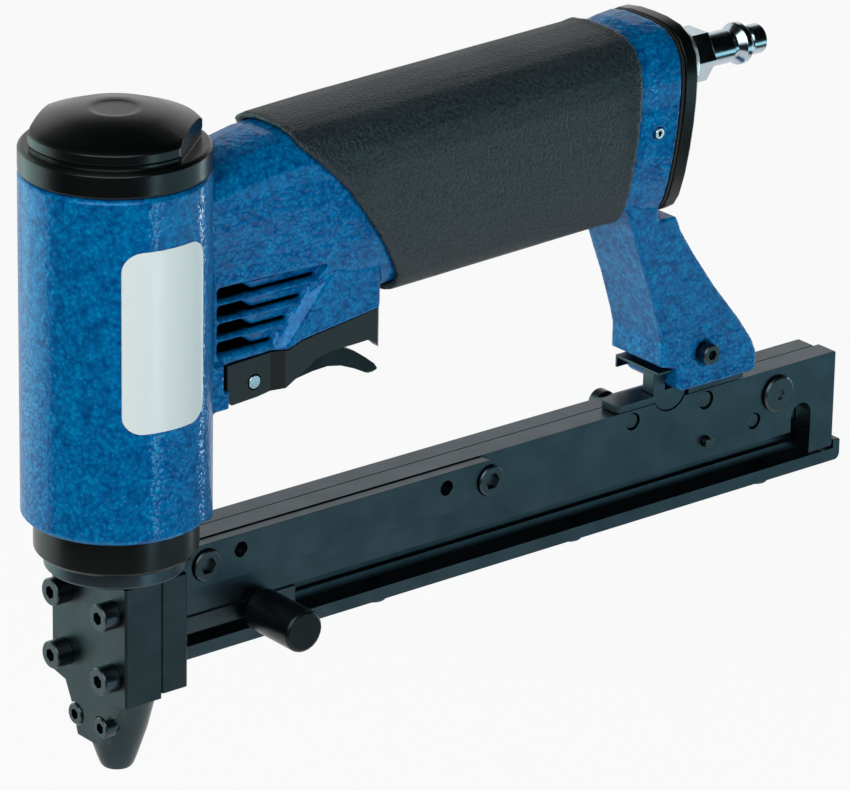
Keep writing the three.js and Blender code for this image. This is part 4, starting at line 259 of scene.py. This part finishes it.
# Materials, each with what its surface gives the eye

# Sprayed and baked paint: deep mottled blue, glossy and dimpled
ENAMEL = hammertone_enamel()

# Ground and blackened plates: dark blue grey with long soft highlights
STEEL = ground_steel("blackened_ground_steel", 0x3C484E, 0x48545B)

# Black oxide on the milled nose: darker and greener than the plates
NOSE_STEEL = ground_steel("black_oxide_nose_steel", 0x323D40, 0x3C474A)

# Electrostatic coating on turned alloy: even black with wide satin highlights
COATING = grained("satin_black_coated_alloy", 0x070909, 0.6, 0.002, 0.3, {"Specular IOR Level": 0.32})

# Black oxide on screws: dark metal with a small glint at each edge
SCREW_BLACK = grained("black_oxide_screw_steel", 0x464E52, 0.4, 0.004, 0.34, {"Metallic": 1.0})

# Turned and blackened knob: black with one soft streak along it
KNOB = grained("satin_black_knob_steel", 0x1A1E21, 0.6, 0.003, 0.3, {"Metallic": 0.6})

# Moulded rubber with an etched mould grain: dull, with many tiny lights on its rounded top
RUBBER = grained("fine_grained_grip_rubber", 0x212C31, 0.8, 0.45, 0.5, contrast=0.9)

# Moulded seals: flat black without gloss
SEAL = grained("moulded_seal_rubber", 0x141414, 0.5, 0.01, 0.6)

# Injection moulded nylon with glass fibre: black, slightly cloudy
PLASTIC = grained("glass_filled_black_plastic", 0x121516, 0.5, 0.012, 0.42)

# Pressed and blackened lever: nearly black, with a faint metal sheen on its curve
TRIGGER_STEEL = ground_steel("blackened_trigger_steel", 0x24292B, 0x2E3436)

# Cast polyurethane: amber, smooth and a little translucent
BUMPER = grained("cast_bumper_polyurethane", 0xB5651D, 0.8, 0.01, 0.35, {"Subsurface Weight": 0.1})

# Laminated label foil: smooth, pale and even
LABEL = grained("pale_label_foil", 0xFFFBF8, 2.0, 0.002, 0.3, contrast=0.01)

# Hardened and polished pins: bright, nearly mirror
BRIGHT = turned_metal("bright_pin_steel", 0xC9CCCF, 0.22, "Z")

# Turned steel with clear zinc plating: bright and cool, with visible turning rings
ZINC = turned_metal("zinc_plated_turned_steel", 0xB4C2CA, 0.2, "X", COARSE_RINGS_MM)

# Turned aluminium: silvery, softer than the steel
ALUMINIUM = turned_metal("turned_aluminium", 0xD5D7D8, 0.3, "X")

# Honed bore of the cylinder: pale metal with fine rings
CYLINDER = turned_metal("honed_cylinder_aluminium", 0xC8CACC, 0.25, "Z")

# Turned brass: warm yellow metal
BRASS = turned_metal("turned_valve_brass", 0xC7A252, 0.28, "Z")

FINISH_OF_SLOT = {
    "hammered_blue_enamel": ENAMEL,
    "black_coating": COATING,
    "blued_steel": STEEL,
    "black_screws": SCREW_BLACK,
    "bright_steel": BRIGHT,
    "black_knob": KNOB,
    "rubber_grip": RUBBER,
    "inner_rubber": SEAL,
    "machined_aluminium": CYLINDER,
    "zinc_plated_steel": ZINC,
    "black_trigger_plastic": PLASTIC,
    "valve_brass": BRASS,
    "bare_label": LABEL,
    "blackened_trigger_steel": TRIGGER_STEEL,
}
# Nodes whose surface differs from the rest of their slot
FINISH_OF_NODE = {
    "inlet_flange": ALUMINIUM,
    "bumper": BUMPER,
    "pusher": SCREW_BLACK,
    "nosepiece": NOSE_STEEL,
    "nose_rear_block": NOSE_STEEL,
}


# Helpers for pieces

MERGE_MM = 0.002
FLAT_WITHIN_DEG = 0.6
EDGE_FROM_DEG = 32
WIRE_EDGE_FROM_DEG = 40
FLAT_FACE_WEIGHT = 100
RELAX_SHARE = 0.5


def finish_of(node):
    """The material of a CAD node, by its own name or else by its slot."""
    return FINISH_OF_NODE.get(node, FINISH_OF_SLOT[SLOT_OF[node]])


def settle(piece, *nodes):
    """The piece stands for these CAD nodes, rides on their body and takes their finish."""
    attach(piece, BODY_OF[nodes[0]])
    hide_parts(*nodes)
    if not piece.data.materials:
        piece.data.materials.append(finish_of(nodes[0]))
    return piece


def object_from(bm, name):
    """A finished bmesh as an object in the scene."""
    mesh = bpy.data.meshes.new(name)
    bm.to_mesh(mesh)
    bm.free()
    piece = bpy.data.objects.new(name, mesh)
    bpy.context.scene.collection.objects.link(piece)
    return piece


def merged_copy(node):
    """The CAD node's mesh with its loose triangles joined and its flat faces made whole."""
    bm = bmesh.new()
    bm.from_mesh(frame["nodes"][node].data)
    bmesh.ops.remove_doubles(bm, verts=bm.verts, dist=MERGE_MM * MM)
    bmesh.ops.dissolve_limit(bm, angle_limit=math.radians(FLAT_WITHIN_DEG), verts=bm.verts, edges=bm.edges)
    return bm


def smooth(piece):
    """Shades every face of the piece smooth."""
    for face in piece.data.polygons:
        face.use_smooth = True
    return piece


def shade(piece, angle_deg=EDGE_FROM_DEG):
    """Smooth shading that keeps edges sharper than the angle."""
    smooth(piece).data.set_sharp_from_angle(angle=math.radians(angle_deg))
    return piece


def bevelled(node, width_mm, segments=2, angle_deg=EDGE_FROM_DEG):
    """The CAD node with its edges broken, as a machinist or a mould leaves them."""
    piece = smooth(object_from(merged_copy(node), node + "_finished"))
    rounding = piece.modifiers.new("broken_edges", "BEVEL")
    rounding.width = width_mm * MM
    rounding.segments = segments
    rounding.limit_method = "ANGLE"
    rounding.angle_limit = math.radians(angle_deg)
    level = piece.modifiers.new("flat_faces_stay_flat", "WEIGHTED_NORMAL")
    level.mode = "FACE_AREA"
    level.weight = FLAT_FACE_WEIGHT
    return settle(piece, node)


def applied(piece):
    """The piece with its modifiers made part of its mesh."""
    bpy.context.view_layer.update()
    graph = bpy.context.evaluated_depsgraph_get()
    mesh = bpy.data.meshes.new_from_object(piece.evaluated_get(graph))
    piece.modifiers.clear()
    piece.data = mesh
    return piece


def cast(node, voxel_mm, rounds, most_triangles=None):
    """The CAD node with the blended corners of a casting or moulding: remeshed finely, then relaxed."""
    piece = object_from(merged_copy(node), node + "_cast")
    remesh = piece.modifiers.new("even_mesh", "REMESH")
    remesh.mode = "VOXEL"
    remesh.voxel_size = voxel_mm * MM
    relax = piece.modifiers.new("blended_corners", "SMOOTH")
    relax.factor = RELAX_SHARE
    relax.iterations = rounds
    applied(piece)
    if most_triangles:
        thin_out = piece.modifiers.new("fewer_faces", "DECIMATE")
        thin_out.ratio = most_triangles / sum(len(face.vertices) - 2 for face in piece.data.polygons)
        applied(piece)
    return settle(smooth(piece), node)


# Blue casting and the rubber sleeve on it

CASTING_VOXEL_MM = 0.42
CASTING_ROUNDS = 3
CASTING_TRIANGLES = 185000
SLEEVE_VOXEL_MM = 0.8
SLEEVE_ROUNDS = 4
HEAD_R_MM = 23.0
FACET_DEPTH_MM = 0.12
# Front and rear, then bottom and top, of the box that holds the cooling slots
SLOT_BOX_MM = ((22.5, 59.0), (102.5, 122.5))
# Painted shade in the slots begins this far from the middle plane and is full black this much deeper
SLOT_DARK_FROM_MM = 7.9
SLOT_DARK_OVER_MM = 0.9


def round_head(piece):
    """Sets the points of the head's wall on a true cylinder, where the CAD has facets."""
    for vert in piece.data.vertices:
        radius = math.hypot(vert.co.x, vert.co.y)
        if 0 <= HEAD_R_MM * MM - radius < FACET_DEPTH_MM * MM:
            vert.co.x *= HEAD_R_MM * MM / radius
            vert.co.y *= HEAD_R_MM * MM / radius


def paint_shade_into_slots(piece):
    """Paints shade into the depth of the cooling slots, darker towards their back, where little light
    reaches.
    """
    mark = piece.data.attributes.new("painted_slot_shade", "FLOAT", "POINT")
    (front, rear), (low, high) = SLOT_BOX_MM
    for vert, value in zip(piece.data.vertices, mark.data):
        x, y, z = vert.co / MM
        if front < x < rear and low < z < high:
            value.value = min(1.0, max(0.0, (SLOT_DARK_FROM_MM - abs(y)) / SLOT_DARK_OVER_MM))


housing_cast = cast("housing", CASTING_VOXEL_MM, CASTING_ROUNDS, CASTING_TRIANGLES)
round_head(housing_cast)
# Painted shade in the depth of the cooling slots
paint_shade_into_slots(housing_cast)
cast("grip_sleeve", SLEEVE_VOXEL_MM, SLEEVE_ROUNDS)


# Turned, milled, pressed and moulded pieces

# Width of the broken edge in mm, then the bevel's steps and its smallest angle where they differ
BROKEN_EDGES = {
    "cylinder_cap": (0.25, 3),
    "nose_collar": (0.3,),
    "nose_ring": (0.25,),
    "handle_end_cap": (0.5, 3, 40),
    "end_cap_gasket": (0.15,),
    "inlet_flange": (0.3,),
    "air_nipple": (0.2, 2, 25),
    "pusher_knob": (0.4, 3),
    "nosepiece": (0.3,),
    "nose_rear_block": (0.3,),
    "magazine_near_plate": (0.22,),
    "magazine_far_plate": (0.22,),
    "magazine_rail": (0.22,),
    "bracket_strip": (0.22,),
    "magazine_hanger": (0.22,),
    "hanger_bar": (0.15,),
    "hanger_post": (0.15,),
    "leg_clip": (0.15,),
    "pusher": (0.15,),
    "pivot_disc": (0.15,),
    "rear_pin": (0.25,),
    "lower_stop_pin": (0.25,),
    "upper_set_screw": (0.25,),
    "front_set_screw": (0.25,),
    "trigger_pin": (0.25,),
    "roll_pin": (0.25,),
    "trigger_housing": (0.35, 3, 25),
    "trigger": (0.4, 3, 30),
}

for edge_node, edge in BROKEN_EDGES.items():
    bevelled(edge_node, *edge)


# Spring of the trigger valve


def compress_spring():
    """The trigger stem's return spring, smooth shaded with its wire's edges kept, on a mesh of its own."""
    spring = object_from(merged_copy("trigger_valve_spring"), "coiled_stem_spring")
    settle(shade(spring, WIRE_EDGE_FROM_DEG), "trigger_valve_spring")
    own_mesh(spring)


compress_spring()


# Label

LABEL_EDGE_MM = 0.08

bevelled("label_plate", LABEL_EDGE_MM)


# Cap screws with a hexagon socket

SOCKET_SIDES = 6
SIDE_CUTS = 5
SOCKET_DEPTH_SHARE = 0.55
HEAD_EDGE_MM = 0.3
SHANK_SHARE = 0.57

# Head radius, head height and width across the socket's flats, in mm
NOSE_SCREW = (3.5, 4.3, 3.0)
TIP_SCREW = (2.75, 3.0, 2.5)
BRACKET_SCREW = (3.95, 2.8, 4.0)
RAIL_SCREW = (3.3, 3.1, 3.0)
FOOT_SCREW = (2.75, 3.4, 2.5)
FAR_SCREW = (3.4, 3.0, 3.0)

TO_FRONT = (-1, 0, 0)
TO_NEAR = (0, -1, 0)
TO_FAR = (0, 1, 0)
TO_BELOW = (0, 0, -1)


def grown(bm, edges):
    """Extrudes a loop of edges and returns the new vertices."""
    made = bmesh.ops.extrude_edge_only(bm, edges=edges)["geom"]
    return [item for item in made if isinstance(item, bmesh.types.BMVert)]


def loop_of(verts):
    """The edges that join these vertices to each other, each edge once."""
    chosen = set(verts)
    joined = [e for v in verts for e in v.link_edges if e.other_vert(v) in chosen]
    return list(dict.fromkeys(joined))


def spread_out(bm, verts, factor, drop):
    """Scales a loop about the axis and moves it along the axis."""
    bmesh.ops.scale(bm, vec=(factor, factor, 1), verts=verts)
    bmesh.ops.translate(bm, vec=(0, 0, drop), verts=verts)


def socket_screw(node, outward, head_r_mm, head_height_mm, across_flats_mm):
    """A cap screw with a hexagon socket, where the CAD has a plain head. Its head looks outward."""
    low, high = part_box(node)
    outward = Vector(outward)
    middle = (low + high) / 2
    reach = Vector((high - low)) / 2
    face = middle + Vector([outward[i] * reach[i] for i in range(3)])
    length = 2 * abs(reach.dot(outward))
    head_r = head_r_mm * MM
    head_height = head_height_mm * MM
    edge = HEAD_EDGE_MM * MM
    half_side = math.pi / SOCKET_SIDES
    bm = bmesh.new()
    bmesh.ops.create_circle(bm, segments=SOCKET_SIDES * (SIDE_CUTS + 1), radius=head_r - edge)
    rim_edges = list(bm.edges)
    mouth = grown(bm, rim_edges)
    for vert in mouth:
        turn = math.atan2(vert.co.y, vert.co.x) % (2 * half_side) - half_side
        vert.co *= across_flats_mm * MM / 2 / math.cos(turn) / vert.co.length
    bottom = grown(bm, loop_of(mouth))
    spread_out(bm, bottom, 1.0, -head_height * SOCKET_DEPTH_SHARE)
    bmesh.ops.edgeloop_fill(bm, edges=loop_of(bottom))
    ring = grown(bm, rim_edges)
    spread_out(bm, ring, head_r / (head_r - edge), -edge)
    for factor, drop in ((1.0, edge - head_height), (SHANK_SHARE, 0.0), (1.0, head_height - length)):
        ring = grown(bm, loop_of(ring))
        spread_out(bm, ring, factor, drop)
    bmesh.ops.edgeloop_fill(bm, edges=loop_of(ring))
    bmesh.ops.recalc_face_normals(bm, faces=bm.faces)
    turned = Vector((0, 0, 1)).rotation_difference(outward).to_matrix().to_4x4()
    bmesh.ops.transform(bm, matrix=Matrix.Translation(face) @ turned, verts=bm.verts)
    piece = object_from(bm, node + "_socket_head")
    return settle(shade(piece), node)


for number in (1, 2, 3, 4):
    socket_screw(f"nose_screw_{number}", TO_FRONT, *NOSE_SCREW)
for number in (1, 2):
    socket_screw(f"tip_screw_{number}", TO_FRONT, *TIP_SCREW)
    socket_screw(f"bracket_screw_{number}", TO_NEAR, *BRACKET_SCREW)
for number in (1, 2, 3):
    socket_screw(f"rail_screw_{number}", TO_BELOW, *RAIL_SCREW)
socket_screw("foot_screw", TO_NEAR, *FOOT_SCREW)
socket_screw("far_side_screw", TO_FAR, *FAR_SCREW)


# Inner pieces keep their CAD shape and get their finish

for inner_node, inner in frame["nodes"].items():
    if not inner.data.materials:
        inner.data.materials.append(finish_of(inner_node))
    for place_in_list in range(len(inner.data.materials)):
        inner.data.materials[place_in_list] = finish_of(inner_node)


# Camera at the photograph's angle

CAMERA_AZIMUTH = -39.34
CAMERA_ELEVATION = 21.82
CAMERA_ROLL = 1.06
CAMERA_DISTANCE_MM = 1424.67
CAMERA_TARGET_MM = (95.01, 0.0, 74.09)
CAMERA_LENS = 242.35
CAMERA_SENSOR = 36.0
CAMERA_CLIP_MM = 50


def place_camera():
    """The camera looks at its target from the photograph's azimuth, elevation and roll."""
    azimuth = math.radians(CAMERA_AZIMUTH)
    elevation = math.radians(CAMERA_ELEVATION)
    roll = math.radians(CAMERA_ROLL)
    back = Vector((math.sin(azimuth) * math.cos(elevation), -math.cos(azimuth) * math.cos(elevation),
                   math.sin(elevation)))
    level = Vector((math.cos(azimuth), math.sin(azimuth), 0))
    upright = back.cross(level)
    right = level * math.cos(roll) + upright * math.sin(roll)
    up = upright * math.cos(roll) - level * math.sin(roll)
    data = bpy.data.cameras.new("photo_camera")
    data.lens = CAMERA_LENS
    data.sensor_width = CAMERA_SENSOR
    data.clip_start = CAMERA_CLIP_MM * MM
    camera = bpy.data.objects.new("photo_camera", data)
    bpy.context.scene.collection.objects.link(camera)
    where = Vector(CAMERA_TARGET_MM) * MM + back * CAMERA_DISTANCE_MM * MM
    camera.matrix_world = Matrix.Translation(where) @ Matrix((right, up, back)).transposed().to_4x4()
    bpy.context.scene.camera = camera


# Pale floor and world, white where they are seen and dimmer where they only light the tool

FLOOR_Z_MM = -300
FLOOR_HALF_MM = 6000
FLOOR_GLOW_SHARE = 0.93
FLOOR_PAINT = 0xE4E4E4
WHITE = 0xFFFFFF
WORLD_AMBIENT = 0.5


def seen_as_background(tree):
    """One for rays from the camera, from a reflection or through glass, and zero for all others."""
    ray = put(tree, "ShaderNodeLightPath")
    seen = put(tree, "ShaderNodeMath", {0: ray.outputs["Is Camera Ray"], 1: ray.outputs["Is Glossy Ray"]},
               operation="MAXIMUM")
    return put(tree, "ShaderNodeMath", {0: seen, 1: ray.outputs["Is Transmission Ray"]},
               operation="MAXIMUM")


def lay_floor():
    """A wide pale floor below the held-up tool, white to the camera, faintly shaded by the tool."""
    bm = bmesh.new()
    bmesh.ops.create_grid(bm, x_segments=1, y_segments=1, size=FLOOR_HALF_MM * MM)
    bmesh.ops.translate(bm, vec=(0, 0, FLOOR_Z_MM * MM), verts=bm.verts)
    floor = object_from(bm, "floor")
    material, tree = new_material("pale_floor")
    share = put(tree, "ShaderNodeMath", {0: seen_as_background(tree), 1: FLOOR_GLOW_SHARE},
                operation="MULTIPLY")
    paint = put(tree, "ShaderNodeBsdfDiffuse", {"Color": linear(FLOOR_PAINT)})
    glow = put(tree, "ShaderNodeEmission", {"Color": linear(WHITE), "Strength": 1.0})
    both = put(tree, "ShaderNodeMixShader", {0: share, 1: paint, 2: glow})
    put(tree, "ShaderNodeOutputMaterial", {"Surface": both})
    floor.data.materials.append(material)


def light_world():
    """White surroundings that light the tool at half the strength at which they are seen."""
    world = bpy.data.worlds.new("studio")
    world.use_nodes = True
    tree = world.node_tree
    tree.nodes.clear()
    strength = put(tree, "ShaderNodeMath", {0: seen_as_background(tree), 1: WORLD_AMBIENT},
                   operation="MAXIMUM")
    sky = put(tree, "ShaderNodeBackground", {"Color": linear(WHITE), "Strength": strength})
    put(tree, "ShaderNodeOutputWorld", {"Surface": sky})
    bpy.context.scene.world = world


# Black cloth on the camera's side

TENT_R_MM = 2600
TENT_FLOOR_GAP_MM = 2
TENT_OPEN_R_MM = 540
TENT_CEILING_ELEVATION = 30
TENT_FROM_BEARING = 150
TENT_TO_BEARING = 378
TENT_TURN_CUTS = 72
TENT_HEIGHT_CUTS = 36
BLACK_CLOTH = 0x161616


def hang_black_tent():
    """Black cloth round the camera's half of the studio and on its floor, for near faces to mirror."""
    bm = bmesh.new()
    bmesh.ops.create_uvsphere(bm, u_segments=TENT_TURN_CUTS, v_segments=TENT_HEIGHT_CUTS,
                              radius=TENT_R_MM * MM)
    open_side = []
    for vert in bm.verts:
        bearing = math.degrees(math.atan2(vert.co.y, vert.co.x)) % 360
        in_front = TENT_FROM_BEARING <= bearing or bearing <= TENT_TO_BEARING - 360
        overhead = vert.co.z > TENT_R_MM * MM * math.sin(math.radians(TENT_CEILING_ELEVATION))
        near_axis = math.hypot(vert.co.x, vert.co.y) < TENT_OPEN_R_MM * MM
        if not overhead and (near_axis or not in_front):
            open_side.append(vert)
        vert.co.z = max(vert.co.z, (FLOOR_Z_MM + TENT_FLOOR_GAP_MM) * MM)
    bmesh.ops.delete(bm, geom=open_side, context="VERTS")
    tent = object_from(bm, "black_tent")
    cloth, tree = new_material("black_cloth")
    weave = put(tree, "ShaderNodeBsdfDiffuse", {"Color": linear(BLACK_CLOTH)})
    put(tree, "ShaderNodeOutputMaterial", {"Surface": weave})
    tent.data.materials.append(cloth)
    tent.visible_camera = False


# Lamps

# Plan bearing from +X and elevation in degrees, distance, width and height in mm, radiance and colour
SOFTBOXES = {
    "key_panel": (-138, 34, 950, 1100, 800, 3.0, 0xF0FCFF),
    "low_fill": (-50, -22, 1000, 1500, 560, 1.6, 0xB4E8F4),
    "left_panel": (122, 0, 1000, 900, 900, 1.6, 0xB8FFF2),
    "right_front_strip": (-84, -20, 900, 90, 400, 6.0, 0xC8F6FF),
    "right_back_strip": (-3, -10, 900, 45, 700, 18.0, 0xE4FBFF),
}


def softbox(name, bearing, elevation, distance_mm, width_mm, height_mm, radiance, colour):
    """A rectangular light that faces the camera's target. A radiance of 1 looks white."""
    bearing = math.radians(bearing)
    elevation = math.radians(elevation)
    out = Vector((math.cos(bearing) * math.cos(elevation), math.sin(bearing) * math.cos(elevation),
                  math.sin(elevation)))
    data = bpy.data.lights.new(name, "AREA")
    data.shape = "RECTANGLE"
    data.size = width_mm * MM
    data.size_y = height_mm * MM
    data.energy = radiance * math.pi * data.size * data.size_y
    data.color = linear(colour)[:3]
    lamp = bpy.data.objects.new(name, data)
    bpy.context.scene.collection.objects.link(lamp)
    lamp.location = Vector(CAMERA_TARGET_MM) * MM + out * distance_mm * MM
    lamp.rotation_euler = out.to_track_quat("Z", "Y").to_euler()
    lamp.visible_camera = False


place_camera()
lay_floor()
light_world()
hang_black_tent()
for lamp_name, row in SOFTBOXES.items():
    softbox(lamp_name, *row)

bpy.context.scene.view_settings.view_transform = "Standard"
